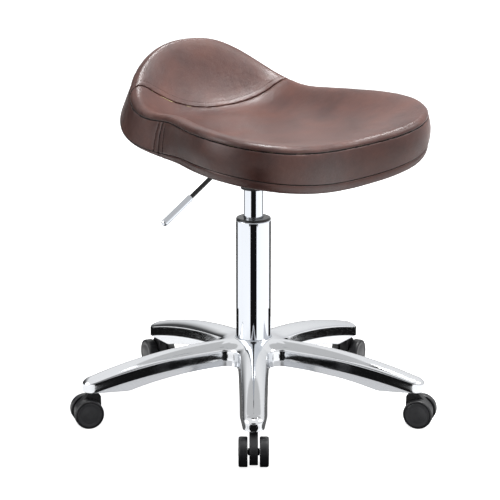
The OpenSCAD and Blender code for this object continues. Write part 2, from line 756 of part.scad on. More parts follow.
// Centre body: a disc on the axle and a shouldered block round the stem
module caster_housing(k) {
    color("#2a2a2c") at_caster(k) difference() {
        union() {
            on_axle() cylinder(h = housing_t, r = housing_r, center = true);
            translate([0, housing_t/2, 0]) rotate([90, 0, 0]) linear_extrude(housing_t) polygon([
                [-pintle_d, axle_z], [-pintle_d - 3, axle_z + 3], [-pintle_d - 3, housing_top - 7],
                [-pintle_d + 1, housing_top - 3], [-collar_d/2 + 1, housing_top], [collar_d/2 - 2, housing_top],
                [trail + 6, axle_z + housing_r - 2], [trail, axle_z]]);
            on_axle() cylinder(h = 2*wheel_in - 2*face_gap, r = axle_d/2 + 2, center = true);
        }
        on_axle() cylinder(h = 3*wheel_in, d = axle_d + 2*fit, center = true);
        translate([0, 0, axle_z + axle_d]) cylinder(h = housing_top - axle_z, d = pintle_d + 2*fit);
    }
}

module caster_stem(k) {
    color("silver") at_caster(k) rotate_extrude() polygon([
        [0, axle_z + axle_d + rest_gap], [pintle_d/2 - 0.5, axle_z + axle_d + rest_gap],
        [pintle_d/2, axle_z + axle_d + rest_gap + 0.5], [pintle_d/2, caster_h - collar_t],
        [collar_d/2, caster_h - collar_t], [collar_d/2, caster_h], [stem_d/2, caster_h],
        [stem_d/2, caster_h + stem_len - 1], [stem_d/2 - 1, caster_h + stem_len], [0, caster_h + stem_len]]);
}

module caster_axle(k) {
    color("silver") at_caster(k) on_axle()
        cylinder(h = 2*(wheel_in + wheel_w - wheel_face_t - 1), d = axle_d, center = true);
}

// Wheel: tread, closed face with a ring groove, and a boss on the axle; open towards the body
module caster_wheel(k, side) {
    r = wheel_d/2;
    w = wheel_w;
    color("#1c1c1e") at_caster(k) on_axle() rotate([side > 0 ? 0 : 180, 0, 0])
        translate([0, 0, wheel_in]) rotate_extrude($fn = 64) polygon([
            [axle_d/2 + fit, 0], [boss_r, 0], [boss_r, w - wheel_face_t], [r - rim_t, w - wheel_face_t],
            [r - rim_t, 0], [r - 1.2, 0], [r, 1.6], [r, w - 2.4], [r - 0.7, w - 0.9], [r - 1.8, w - 0.3],
            [r - 3, w - 0.3], [r - 3, w - 0.3 - groove_d], [r - 3.8, w - 0.3 - groove_d],
            [r - 3.8, w - 0.2], [boss_r, w], [0, w], [0, w - 0.9], [axle_d/2 + fit, w - 0.9]]);
}

star_base();
outer_tube();
guide_bush();
thrust_bearing();
piston_rod();
retaining_clip();
bumper();
piston();
gas_cylinder();
rod_guide();
valve_button();
seat_plate();
lever_pin();
release_lever();
lever_grip();
seat_bolts();
spring_washers();
t_nuts();
seat_board();
foam_cushion();
seat_panel();
back_panel();
front_band();
rear_band();
under_cloth();
cover_staples();
for (k = [1:arm_count]) {
    caster_housing(k);
    caster_stem(k);
    caster_axle(k);
    caster_wheel(k, -1);
    caster_wheel(k, 1);
}
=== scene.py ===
"""Dresses the salon stool: a leather saddle seat on a chromed gas lift and a five-armed base.

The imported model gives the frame. The pieces made here follow its sizes, in metres, with the origin
on the floor under the column and +Z up. The sitter faces -Y.
"""

import logging
import math
from dataclasses import dataclass, field
from enum import Enum
from typing import Any, Callable, Iterable, Sequence

import bmesh
import bpy
from mathutils import Matrix, Vector, noise


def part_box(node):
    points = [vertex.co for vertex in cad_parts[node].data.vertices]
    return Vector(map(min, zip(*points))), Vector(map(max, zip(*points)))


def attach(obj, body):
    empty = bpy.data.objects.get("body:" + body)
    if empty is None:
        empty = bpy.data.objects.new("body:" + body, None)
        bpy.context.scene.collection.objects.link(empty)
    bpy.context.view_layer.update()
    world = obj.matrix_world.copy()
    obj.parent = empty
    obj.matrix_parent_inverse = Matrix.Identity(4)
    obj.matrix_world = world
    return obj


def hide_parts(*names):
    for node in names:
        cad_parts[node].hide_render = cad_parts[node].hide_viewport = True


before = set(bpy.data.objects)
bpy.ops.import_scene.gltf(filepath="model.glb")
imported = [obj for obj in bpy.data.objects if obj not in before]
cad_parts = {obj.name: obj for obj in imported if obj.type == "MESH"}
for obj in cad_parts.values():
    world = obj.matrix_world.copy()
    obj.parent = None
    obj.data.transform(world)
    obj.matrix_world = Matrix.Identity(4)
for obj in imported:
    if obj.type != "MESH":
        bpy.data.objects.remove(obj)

log = logging.getLogger("stool")
MM = 0.001
UP = Vector((0.0, 0.0, 1.0))
WELD = 1e-6
WHITE = (1.0, 1.0, 1.0, 1.0)
BLACK = (0.0, 0.0, 0.0, 1.0)
Outline = Sequence[tuple[float, float]]

# Sizes that several pieces of the base share, in millimetres and degrees
ARMS = 5
FIRST_ARM = -130.0
STEM_CIRCLE = 239.5
ARM_FOOT = 51.0
HUB_TOP = 109.0


class Body(Enum):
    """The CAD bodies that pieces ride on."""

    BASE = "base"
    SEAT = "seat"
    LEVER = "lever"


class Slot(Enum):
    """The record's material slots."""

    ALUMINIUM = "polished_aluminium"
    CHROME = "chromed_steel"
    ZINC = "zinced_steel"
    BLACK_STEEL = "black_steel"
    NYLON = "black_nylon"
    ACETAL = "dark_acetal"
    LEATHER = "brown_leather"
    PLYWOOD = "birch_plywood"
    FOAM = "seat_foam"
    CLOTH = "black_cloth"


# Colour and shader helpers


def linear(code: str) -> tuple[float, float, float, float]:
    """Turns an sRGB hex colour into linear RGBA.

    Args:
        code: Six hex digits after a hash sign.

    Returns:
        The colour with full alpha.
    """
    parts = [int(code[i : i + 2], 16) / 255 for i in (1, 3, 5)]
    r, g, b = [p / 12.92 if p <= 0.04045 else ((p + 0.055) / 1.055) ** 2.4 for p in parts]
    return (r, g, b, 1.0)


def add(
    tree: bpy.types.NodeTree,
    kind: str,
    links: dict[str | int, Any] | None = None,
    sockets: dict[str | int, Any] | None = None,
    **settings: Any,
) -> bpy.types.Node:
    """Adds a shader node with its settings and links.

    Args:
        tree: The tree that gets the node.
        kind: The node's type.
        links: Output sockets to join to the node's named or numbered inputs.
        sockets: Values for the node's named or numbered inputs.
        **settings: Values for the node's own properties.

    Returns:
        The new node.
    """
    node = tree.nodes.new(kind)
    for name, value in settings.items():
        setattr(node, name, value)
    for key, value in (sockets or {}).items():
        node.inputs[key].default_value = value
    for key, output in (links or {}).items():
        tree.links.new(output, node.inputs[key])
    return node


def ramp(
    tree: bpy.types.NodeTree, source: Any, stops: Sequence[tuple[float, tuple[float, ...]]]
) -> bpy.types.Node:
    """Adds a colour ramp over a grey value.

    Args:
        tree: The tree that gets the node.
        source: The output socket that drives the ramp.
        stops: Places from 0 to 1 with their colours.

    Returns:
        The ramp node.
    """
    node = add(tree, "ShaderNodeValToRGB", {"Fac": source})
    elements = node.color_ramp.elements
    while len(elements) < len(stops):
        elements.new(0.5)
    for element, (place, colour) in zip(elements, stops):
        element.position = place
        element.color = colour
    return node


def start_material(name: str) -> tuple[bpy.types.Material, bpy.types.NodeTree, Any, Any]:
    """Makes an empty node material.

    Args:
        name: The material's name.

    Returns:
        The material, its tree, its Principled shader and the Object coordinates.
    """
    material = bpy.data.materials.new(name)
    material.use_nodes = True
    tree = material.node_tree
    shader = tree.nodes["Principled BSDF"]
    place = add(tree, "ShaderNodeTexCoord").outputs["Object"]
    return material, tree, shader, place


def bump(tree: bpy.types.NodeTree, shader: Any, height: Any, depth: float, before: Any = None) -> Any:
    """Adds a bump to the shader's normal.

    Args:
        tree: The material's tree.
        shader: The Principled shader.
        height: The output socket with the height, from 0 to 1.
        depth: The depth of the pattern in metres.
        before: A bump node to build on.

    Returns:
        The bump node.
    """
    links = {"Height": height}
    if before is not None:
        links["Normal"] = before.outputs["Normal"]
    node = add(tree, "ShaderNodeBump", links, {"Strength": 1.0, "Distance": depth})
    tree.links.new(node.outputs["Normal"], shader.inputs["Normal"])
    return node


def clouds(tree: bpy.types.NodeTree, place: Any, size_mm: float, **more: float) -> Any:
    """Adds a cloudy pattern.

    Args:
        tree: The material's tree.
        place: The output socket with the coordinates.
        size_mm: The size of its clouds.
        **more: Its other values, under the names of their sockets.

    Returns:
        The output socket with the pattern, from 0 to 1.
    """
    sockets = {"Scale": 1 / (size_mm * MM), **more}
    return add(tree, "ShaderNodeTexNoise", {"Vector": place}, sockets).outputs["Fac"]


def spread(
    tree: bpy.types.NodeTree, source: Any, low: float, high: float, start: float = 0.0, end: float = 1.0
) -> Any:
    """Maps a value from one range onto another and holds it beyond the ends.

    Args:
        tree: The tree that gets the node.
        source: The output socket with the value.
        low: The result where the value is at the start.
        high: The result where the value is at the end.
        start: The start of the value's range.
        end: The end of the value's range.

    Returns:
        The output socket with the result.
    """
    sockets = {"From Min": start, "From Max": end, "To Min": low, "To Max": high}
    return add(tree, "ShaderNodeMapRange", {"Value": source}, sockets).outputs["Result"]


def reckon(tree: bpy.types.NodeTree, operation: str, first: Any, second: Any) -> Any:
    """Adds a sum or a product of two values and returns its output socket."""
    return add(tree, "ShaderNodeMath", {0: first, 1: second}, operation=operation).outputs["Value"]


def mixed(tree: bpy.types.NodeTree, share: Any, first: Any, second: Any) -> Any:
    """Adds a mix of two shaders and returns its output socket."""
    return add(tree, "ShaderNodeMixShader", {0: share, 1: first, 2: second}).outputs["Shader"]


def tint(tree: bpy.types.NodeTree, shader: Any, source: Any, *stops: tuple[float, str]) -> None:
    """Colours a shader along a pattern.

    Args:
        tree: The material's tree.
        shader: The Principled shader.
        source: The output socket with the pattern.
        *stops: Places from 0 to 1 with their sRGB colours.
    """
    tone = ramp(tree, source, [(place, linear(code)) for place, code in stops])
    tree.links.new(tone.outputs["Color"], shader.inputs["Base Color"])


def roughen(tree: bpy.types.NodeTree, shader: Any, source: Any, low: float, high: float) -> None:
    """Varies a shader's roughness between two values along a pattern."""
    tree.links.new(spread(tree, source, low, high), shader.inputs["Roughness"])


# Finishes


@dataclass(frozen=True)
class CoatedLeather:
    """Coated split leather: a sprayed brown film over embossed hair-cell grain, semi-gloss.

    The film gives a soft greyish sheen over a red-brown ground, darker and warmer in broad clouds.
    """

    name: str = "coated_leather"
    ground: str = "#58362f"
    dark: str = "#472a25"
    warm: str = "#674036"
    grain_mm: float = 1.1
    grain_depth_mm: float = 0.05
    crease_mm: float = 9.0
    crease_depth_mm: float = 0.35
    cloud_mm: float = 55.0
    roughness: float = 0.34
    uneven: float = 0.07
    sheen: float = 0.25
    sheen_tint: str = "#d8c4be"

    def make(self) -> bpy.types.Material:
        """Builds the material."""
        material, tree, shader, place = start_material(self.name)
        cloud = clouds(tree, place, self.cloud_mm, Detail=4.0, Roughness=0.6)
        tint(tree, shader, cloud, (0.32, self.dark), (0.5, self.ground), (0.7, self.warm))
        grain = add(
            tree, "ShaderNodeTexVoronoi", {"Vector": place},
            {"Scale": 1 / (self.grain_mm * MM), "Randomness": 1.0}, feature="DISTANCE_TO_EDGE",
        )
        cells = ramp(tree, grain.outputs["Distance"], [(0.0, BLACK), (0.25, WHITE)])
        fine = bump(tree, shader, cells.outputs["Color"], self.grain_depth_mm * MM)
        crease = clouds(tree, place, self.crease_mm, Detail=5.0, Roughness=0.55, Distortion=0.6)
        bump(tree, shader, crease, self.crease_depth_mm * MM, fine)
        roughen(tree, shader, cloud, self.roughness - self.uneven, self.roughness + self.uneven)
        shader.inputs["IOR"].default_value = 1.5
        shader.inputs["Sheen Weight"].default_value = self.sheen
        shader.inputs["Sheen Roughness"].default_value = 0.4
        shader.inputs["Sheen Tint"].default_value = linear(self.sheen_tint)
        return material


@dataclass(frozen=True)
class BrightMetal:
    """A plated or buffed metal: clean mirror reflections with the faintest haze.

    Electroplated chrome has a blue-grey cast, and buffed aluminium a neutral one with finer haze
    along the strokes.
    """

    name: str
    colour: str
    roughness: float
    haze_mm: float = 20.0
    uneven: float = 0.4

    def make(self) -> bpy.types.Material:
        """Builds the material."""
        material, tree, shader, place = start_material(self.name)
        haze = clouds(tree, place, self.haze_mm, Detail=3.0)
        roughen(tree, shader, haze, self.roughness * (1 - self.uneven), self.roughness * (1 + self.uneven))
        shader.inputs["Base Color"].default_value = linear(self.colour)
        shader.inputs["Metallic"].default_value = 1.0
        return material


@dataclass(frozen=True)
class MouldedPolymer:
    """An injection-moulded plastic or rubber with the fine spark texture of its mould."""

    name: str
    colour: str
    light: str
    roughness: float
    cloud_mm: float = 1 / 0.06
    texture_mm: float = 0.7
    depth_mm: float = 0.03
    uneven: float = 0.05

    def make(self) -> bpy.types.Material:
        """Builds the material."""
        material, tree, shader, place = start_material(self.name)
        cloud = clouds(tree, place, self.cloud_mm, Detail=3.0)
        tint(tree, shader, cloud, (0.35, self.colour), (0.7, self.light))
        spark = clouds(tree, place, self.texture_mm, Detail=2.0)
        bump(tree, shader, spark, self.depth_mm * MM)
        roughen(tree, shader, cloud, self.roughness - self.uneven, self.roughness + self.uneven)
        return material


@dataclass(frozen=True)
class SatinMetal:
    """Zinc-plated, turned or powder-coated metal: soft reflections, with a mottled surface."""

    name: str
    colour: str
    light: str
    roughness: float
    metallic: float
    mottle_mm: float = 3.0
    depth_mm: float = 0.02
    uneven: float = 0.06

    def make(self) -> bpy.types.Material:
        """Builds the material."""
        material, tree, shader, place = start_material(self.name)
        mottle = clouds(tree, place, self.mottle_mm, Detail=3.0)
        tint(tree, shader, mottle, (0.35, self.colour), (0.7, self.light))
        roughen(tree, shader, mottle, self.roughness - self.uneven, self.roughness + self.uneven)
        bump(tree, shader, mottle, self.depth_mm * MM)
        shader.inputs["Metallic"].default_value = self.metallic
        return material


@dataclass(frozen=True)
class Plywood:
    """Moulded beech plywood: pale veneers with dark glue lines every 1.5 mm and long grain."""

    name: str = "beech_plywood"
    pale: str = "#c9a777"
    glue: str = "#8a6238"
    ply_mm: float = 1.5
    across: float = 40.0
    along: float = 4.0
    depth_mm: float = 0.05

    def make(self) -> bpy.types.Material:
        """Builds the material."""
        material, tree, shader, place = start_material(self.name)
        scale = (self.across, self.along, 1 / (self.ply_mm * MM))
        stretch = add(tree, "ShaderNodeMapping", {"Vector": place}, {"Scale": scale}).outputs["Vector"]
        sockets = {"Scale": 1.0, "Detail": 3.0}
        grain = add(tree, "ShaderNodeTexNoise", {"Vector": stretch}, sockets).outputs["Fac"]
        tint(tree, shader, grain, (0.35, self.glue), (0.6, self.pale))
        bump(tree, shader, grain, self.depth_mm * MM)
        shader.inputs["Roughness"].default_value = 0.6
        return material


@dataclass(frozen=True)
class Fibre:
    """A matt textile or open foam: felted lining, sewing thread or cut polyurethane."""

    name: str
    colour: str
    light: str
    pitch_mm: float
    depth_mm: float = 0.15

    def make(self) -> bpy.types.Material:
        """Builds the material."""
        material, tree, shader, place = start_material(self.name)
        fibre = clouds(tree, place, self.pitch_mm, Detail=4.0, Roughness=0.7)
        tint(tree, shader, fibre, (0.3, self.colour), (0.7, self.light))
        bump(tree, shader, fibre, self.depth_mm * MM)
        shader.inputs["Roughness"].default_value = 0.9
        return material


LEATHER = CoatedLeather()
CHROME = BrightMetal("plated_chrome", "#dee2e8", 0.03)
BUFFED = BrightMetal("buffed_aluminium", "#e0e2e5", 0.1, 12.0)
NYLON = MouldedPolymer("glass_filled_nylon", "#1b1b1d", "#232326", 0.42)
# The wheels' outer faces: the same nylon as the tread, painted lighter to stand in for the light they catch
WHEEL_FACE = MouldedPolymer("wheel_face_nylon_painted_lighter", "#464648", "#505052", 0.38)
ACETAL = MouldedPolymer("acetal", "#202022", "#28282a", 0.2)
RUBBER = MouldedPolymer("nitrile_rubber", "#101010", "#181818", 0.75)
ZINC = SatinMetal("bright_zinc_plate", "#a9adb2", "#c3c6ca", 0.3, 1.0)
TURNED = SatinMetal("turned_aluminium", "#9c9ea0", "#b4b5b6", 0.35, 1.0)
POWDER = SatinMetal("black_powder_coat", "#0e0e0f", "#151516", 0.45, 0.0, 1.2, 0.06)
ENAMEL = SatinMetal("black_enamel", "#050505", "#0a0a0a", 0.25, 0.0, 6.0, 0.01)
PLYWOOD = Plywood()
FOAM = Fibre("cut_foam", "#cdbd83", "#e2d7a8", 1.2, 0.4)
LINING = Fibre("spunbond_lining", "#0d0d0e", "#19191b", 0.8)
THREAD = Fibre("bonded_thread", "#1c100e", "#2a1916", 0.4, 0.05)
BROWN_THREAD = Fibre("brown_thread", "#3c2621", "#4e322c", 0.4, 0.05)
# Near-black finish for the leather's dyed cut edge, also laid on the leather that dives into each seam as
# painted seam shade
DYED_EDGE_AND_SEAM_SHADE = Fibre("dyed_edge_and_painted_seam_shade", "#150c0a", "#221411", 0.5, 0.05)


class FinishRack:
    """Keeps one material for each finish."""

    def __init__(self) -> None:
        """Starts with no material made."""
        self.made: dict[str, bpy.types.Material] = {}

    def get(self, finish: Any) -> bpy.types.Material:
        """Returns the finish's material, made at its first use."""
        if finish.name not in self.made:
            self.made[finish.name] = finish.make()
        return self.made[finish.name]


RACK = FinishRack()


# Mesh helpers


def everything(bm: bmesh.types.BMesh) -> list[Any]:
    """Lists all vertices, edges and faces of a mesh."""
    return bm.verts[:] + bm.edges[:] + bm.faces[:]


def move(bm: bmesh.types.BMesh, matrix: Matrix) -> None:
    """Moves a whole mesh by a matrix."""
    bmesh.ops.transform(bm, matrix=matrix, verts=bm.verts[:])


def join(bm: bmesh.types.BMesh, other: bmesh.types.BMesh) -> None:
    """Adds another mesh to a mesh and frees it.

    Args:
        bm: The mesh that grows.
        other: The mesh that goes into it.
    """
    spare = bpy.data.meshes.new("spare")
    other.to_mesh(spare)
    other.free()
    bm.from_mesh(spare)
    bpy.data.meshes.remove(spare)


def heading(degrees: float) -> Vector:
    """Gives the level direction at an angle from +X."""
    t = math.radians(degrees)
    return Vector((math.cos(t), math.sin(t), 0.0))


def loft(bm: bmesh.types.BMesh, rows: Sequence[Sequence[Vector]], closed: bool) -> list[list[Any]]:
    """Pulls a row of points through the next ones as one sheet.

    Args:
        bm: The mesh that gets the sheet.
        rows: Rows of as many points each.
        closed: Whether each row is a ring.

    Returns:
        The rows of vertices.
    """
    row = [bm.verts.new(p) for p in rows[0]]
    pairs = list(zip(row, row[1:])) + ([(row[-1], row[0])] if closed else [])
    edges = [bm.edges.new(pair) for pair in pairs]
    out = [row]
    for points in rows[1:]:
        pulled = bmesh.ops.extrude_edge_only(bm, edges=edges)["geom"]
        fresh = {g for g in pulled if isinstance(g, bmesh.types.BMVert)}
        row = [next(e.other_vert(v) for e in v.link_edges if e.other_vert(v) in fresh) for v in row]
        edges = [
            g for g in pulled
            if isinstance(g, bmesh.types.BMEdge) and g.verts[0] in fresh and g.verts[1] in fresh
        ]
        for vert, point in zip(row, points):
            vert.co = point
        out.append(row)
    return out


def close_ring(bm: bmesh.types.BMesh, row: Sequence[Any]) -> None:
    """Fills a ring of vertices with a fan round its middle.

    Args:
        bm: The mesh.
        row: The ring's vertices in order.
    """
    face = bm.faces.new(row)
    bmesh.ops.poke(bm, faces=[face])


def outward(bm: bmesh.types.BMesh, inside: Callable[[Vector], Vector]) -> None:
    """Turns a sheet's faces so that they look away from what it covers.

    Args:
        bm: The mesh.
        inside: Gives a point on the covered side for a point of the sheet.
    """
    bmesh.ops.recalc_face_normals(bm, faces=bm.faces[:])
    score = sum(
        f.normal.dot(f.calc_center_median() - inside(f.calc_center_median())) * f.calc_area()
        for f in bm.faces
    )
    if score < 0:
        bmesh.ops.reverse_faces(bm, faces=bm.faces[:])


def piece(
    name: str,
    bm: bmesh.types.BMesh,
    finish: Any,
    body: Body | str,
    stands_for: Iterable[str] = (),
    sharp_deg: float = 35.0,
    second: Any = None,
) -> bpy.types.Object:
    """Turns a mesh into a piece that rides on a body.

    Args:
        name: The piece's name.
        bm: Its mesh, in place.
        finish: Its finish.
        body: The body it rides on.
        stands_for: CAD nodes that it replaces.
        sharp_deg: The angle past which an edge is shown sharp.
        second: The finish of the faces with material number 1.

    Returns:
        The new object.
    """
    mesh = bpy.data.meshes.new(name)
    bm.to_mesh(mesh)
    bm.free()
    mesh.polygons.foreach_set("use_smooth", [True] * len(mesh.polygons))
    mesh.set_sharp_from_angle(angle=math.radians(sharp_deg))
    mesh.materials.append(RACK.get(finish))
    if second is not None:
        mesh.materials.append(RACK.get(second))
    obj = bpy.data.objects.new(name, mesh)
    bpy.context.scene.collection.objects.link(obj)
    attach(obj, body.value if isinstance(body, Body) else body)
    if stands_for:
        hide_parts(*stands_for)
    log.info("%s: %d faces", name, len(mesh.polygons))
    return obj


def modify(obj: bpy.types.Object, kind: str, **settings: Any) -> None:
    """Adds a modifier with its settings.

    Args:
        obj: The piece.
        kind: The modifier's type.
        **settings: Its values.
    """
    modifier = obj.modifiers.new(kind.lower(), kind)
    for name, value in settings.items():
        setattr(modifier, name, value)


def braced(profile: Outline) -> list[tuple[float, float]]:
    """Adds points near the ends of a closed outline's long runs, so that they shade as straight.

    Args:
        profile: Radius and height of each point, in metres.

    Returns:
        The outline with the new points.
    """
    margin = 0.3 * MM
    out: list[tuple[float, float]] = []
    for i, point in enumerate(profile):
        out.append(tuple(point))
        here, there = Vector(point), Vector(profile[(i + 1) % len(profile)])
        if (there - here).length > 8 * margin:
            step = (there - here).normalized() * margin
            out += [tuple(here + step), tuple(there - step)]
    return out


def turned(profile: Outline, steps: int) -> bmesh.types.BMesh:
    """Spins a closed outline round the Z axis.

    Args:
        profile: Radius and height of each point, in millimetres.
        steps: How many steps make the full turn.

    Returns:
        The closed mesh.
    """
    bm = bmesh.new()
    outline = braced([(r * MM, z * MM) for r, z in profile])
    verts = [bm.verts.new((r, 0.0, z)) for r, z in outline]
    edges = [bm.edges.new(pair) for pair in list(zip(verts, verts[1:])) + [(verts[-1], verts[0])]]
    bmesh.ops.spin(
        bm, geom=verts + edges, cent=(0, 0, 0), axis=(0, 0, 1), angle=2 * math.pi,
        steps=steps, use_merge=True,
    )
    bmesh.ops.remove_doubles(bm, verts=bm.verts[:], dist=WELD)
    bmesh.ops.dissolve_degenerate(bm, edges=bm.edges[:], dist=WELD / 10)
    bmesh.ops.recalc_face_normals(bm, faces=bm.faces[:])
    return bm


# Seat


@dataclass
class SaddleForm:
    """The outer shape of the seat, as sections at each angle round its middle.

    The values of a row hold evenly from the front round to the rear, in millimetres. The angle a
    runs from the front towards +X, in degrees.
    """

    ahead: float = 22.0
    reach_at: tuple[float, ...] = (183, 206.8, 231, 199, 160, 161, 188.8, 190, 186)
    rise_at: tuple[float, ...] = (6, 12, 25, 32, 29.5, 24.5, 38, 80.5, 94)
    steep_at: tuple[float, ...] = (3, 4.2, 8)
    band_at: tuple[float, ...] = (46, 44, 41, 40.5, 43, 35, 26, 33, 36)
    flare_at: tuple[float, ...] = (-2, -1.5, 0, 0, 0, 12, 14.5, 13, 11)
    roll: float = 9.0
    bulge_at: tuple[float, ...] = (3.5, 3.5, 2.5, 0.3, 0)
    turn_r: float = 9.0
    turn_drop_at: tuple[float, ...] = (13, 13, 13, 13, 12, 9.8, 9.2, 9.2, 9.2)
    turn_in: float = 14.0
    snug_at: tuple[float, ...] = (0, 0, 0, 0, 1, 5, 7, 7.5, 7.5)
    under_gap: float = 0.8
    skin: float = 1.5
    flat_share: float = 0.62
    board_t: float = 12.0
    foam_mid: float = 23.5

    def __post_init__(self) -> None:
        """Takes the heights from the plate that carries the seat."""
        self.known: dict[tuple[tuple[float, ...], float], float] = {}
        self.board_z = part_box("seat_plate")[1].z / MM
        self.dish_z = self.board_z + self.board_t + self.foam_mid + self.skin

    def even(self, values: tuple[float, ...], a: float) -> float:
        """Reads an even periodic curve through evenly spaced values.

        Args:
            values: Values from the front to the rear.
            a: The angle from the front.

        Returns:
            The value at that angle.
        """
        known = self.known.get((values, a))
        if known is not None:
            return known
        last = len(values) - 1
        total = 0.0
        for k in range(last + 1):
            terms = [
                v * math.cos(math.pi * k * i / last) * (0.5 if i in (0, last) else 1.0)
                for i, v in enumerate(values)
            ]
            share = 0.5 if k in (0, last) else 1.0
            total += share * 2 / last * sum(terms) * math.cos(k * math.radians(a))
        self.known[(values, a)] = total
        return total

    def reach(self, a: float) -> float:
        """Distance from the middle to the top seam."""
        return self.even(self.reach_at, a)

    def rise(self, a: float) -> float:
        """Height of the top seam above the dish."""
        return self.even(self.rise_at, a)

    def band_h(self, a: float) -> float:
        """Height of the band between its seams."""
        return self.even(self.band_at, a)

    def snug(self, a: float) -> float:
        """Part of the turn's height that the band takes over, where the turn hugs the board."""
        return self.even(self.snug_at, a)

    def turn_drop(self, a: float) -> float:
        """Height of the turn below the band."""
        return self.even(self.turn_drop_at, a)

    def face_h(self, a: float) -> float:
        """Height of the band's face down to its lower seam."""
        return self.band_h(a) + self.snug(a)

    def flare(self, a: float) -> float:
        """Lean of the band's foot."""
        return self.even(self.flare_at, a)

    def turn_edge(self, a: float) -> float:
        """Distance from the middle to where the turn ends under the board."""
        return self.reach(a) - self.turn_r + self.flare(a)

    def seam_z(self, a: float) -> float:
        """Height of the top seam."""
        return self.dish_z + self.rise(a)

    def board_under(self, a: float, r: float) -> float:
        """Height of the board's underside at a distance from the middle."""
        t = max(0.0, min(1.0, (r / self.turn_edge(a) - self.flat_share) / (1 - self.flat_share)))
        foot = self.seam_z(a) - self.band_h(a) - self.turn_r + self.skin
        return self.board_z + (foot - self.board_z) * t**1.6

    def at(self, a: float, r: float, z: float) -> Vector:
        """Turns an angle, distance and height into a point in metres."""
        t = math.radians(a)
        return Vector((r * math.sin(t), -self.ahead - r * math.cos(t), z)) * MM

    def polar(self, x: float, y: float) -> tuple[float, float]:
        """Gives the angle and the distance from the middle of a place in plan, in millimetres."""
        return math.degrees(math.atan2(x, -(y + self.ahead))), math.hypot(x, y + self.ahead)

    def cover(self, a: float, s: float, depth: float = 0.0) -> Vector:
        """Finds a point of the cover.

        Args:
            a: The angle from the front.
            s: Place along the section: 0 to 1 over the dish, to 2 over the rolled edge, to 3 down
                the band, to 4 round the turn, and to 5 in under the board.
            depth: Distance inside the outer face.

        Returns:
            The point in metres.
        """
        reach, seam_z, roll = self.reach(a), self.seam_z(a), self.roll
        if s <= 1:
            steep = self.even(self.steep_at, a)
            z = self.dish_z + (self.rise(a) + roll) * (1 - (1 - s**steep) ** 2)
            return self.at(a, s * (reach - roll), z - depth)
        if s <= 2:
            t = math.radians(90 * (s - 1))
            out = roll - depth
            return self.at(a, reach - roll + out * math.sin(t), seam_z + out * math.cos(t))
        if s <= 3:
            bulge = self.even(self.bulge_at, a) * math.sin(math.pi * (s - 2))
            r = reach - depth + bulge + self.flare(a) * (s - 2)
            return self.at(a, r, seam_z - self.face_h(a) * (s - 2))
        foot = seam_z - self.face_h(a)
        if s <= 4:
            t = math.radians(90 * (s - 3))
            out = self.turn_r - depth
            drop = out * (self.turn_drop(a) + self.under_gap - self.snug(a)) / self.turn_r
            return self.at(a, self.turn_edge(a) + out * math.cos(t), foot - drop * math.sin(t))
        r = self.turn_edge(a) - self.turn_in * (s - 4)
        sag = (self.turn_drop(a) - self.turn_r) * (5 - s) ** 2
        return self.at(a, r, self.board_under(a, r) - self.skin - self.under_gap - sag + depth)

    def top_at(self, x: float, y: float) -> Vector:
        """Finds the point of the top over a place in plan.

        Args:
            x: Place across, in millimetres.
            y: Place from front to back, in millimetres.

        Returns:
            The point in metres.
        """
        a, r = self.polar(x, y)
        inner = self.reach(a) - self.roll
        if r <= inner:
            return self.cover(a, r / inner)
        rounding = math.asin(min(1.0, (r - inner) / self.roll))
        return self.cover(a, 1 + math.degrees(rounding) / 90)


@dataclass
class Stitching:
    """Rows of thread laid along the cover.

    The length is that of the thread that shows, the gap lies between two stitches, and the flat
    share is the thread's height over its width.
    """

    length: float
    gap: float
    radius: float
    flat: float = 0.8
    bm: bmesh.types.BMesh = field(default_factory=bmesh.new)

    def row(self, path: Sequence[Vector], normal: Callable[[int], Vector]) -> None:
        """Lays stitches along a path.

        Args:
            path: Closely spaced points in metres.
            normal: Gives the surface normal at a point's number.
        """
        pitch = (self.length + self.gap) * MM
        walked, due = 0.0, pitch / 2
        for i, (a, b) in enumerate(zip(path, path[1:])):
            step = (b - a).length
            while step > 0 and walked + step >= due:
                self.stitch(a.lerp(b, (due - walked) / step), (b - a).normalized(), normal(i))
                due += pitch
            walked += step

    def stitch(self, middle: Vector, along: Vector, normal: Vector) -> None:
        """Adds one stitch.

        Args:
            middle: Its middle.
            along: The direction of the seam.
            normal: The surface normal.
        """
        across = normal.cross(along).normalized()
        lift = along.cross(across)
        turn = Matrix((across, lift, along)).transposed().to_4x4()
        high = self.radius * self.flat * MM
        size = Matrix.Diagonal((self.radius * MM, high, self.length / 2 * MM, 1.0))
        made = bmesh.ops.create_uvsphere(self.bm, u_segments=6, v_segments=5, radius=1.0)
        bmesh.ops.transform(
            self.bm, matrix=Matrix.Translation(middle) @ turn @ size, verts=made["verts"]
        )


def islands(bm: bmesh.types.BMesh) -> list[list[bmesh.types.BMVert]]:
    """Sorts the vertices of a mesh by the solid they belong to.

    Args:
        bm: The mesh.

    Returns:
        The vertices of each solid.
    """
    groups, seen = [], set()
    for start in bm.verts:
        if start in seen:
            continue
        seen.add(start)
        group = [start]
        for vert in group:
            for edge in vert.link_edges:
                other = edge.other_vert(vert)
                if other not in seen:
                    seen.add(other)
                    group.append(other)
        groups.append(group)
    return groups


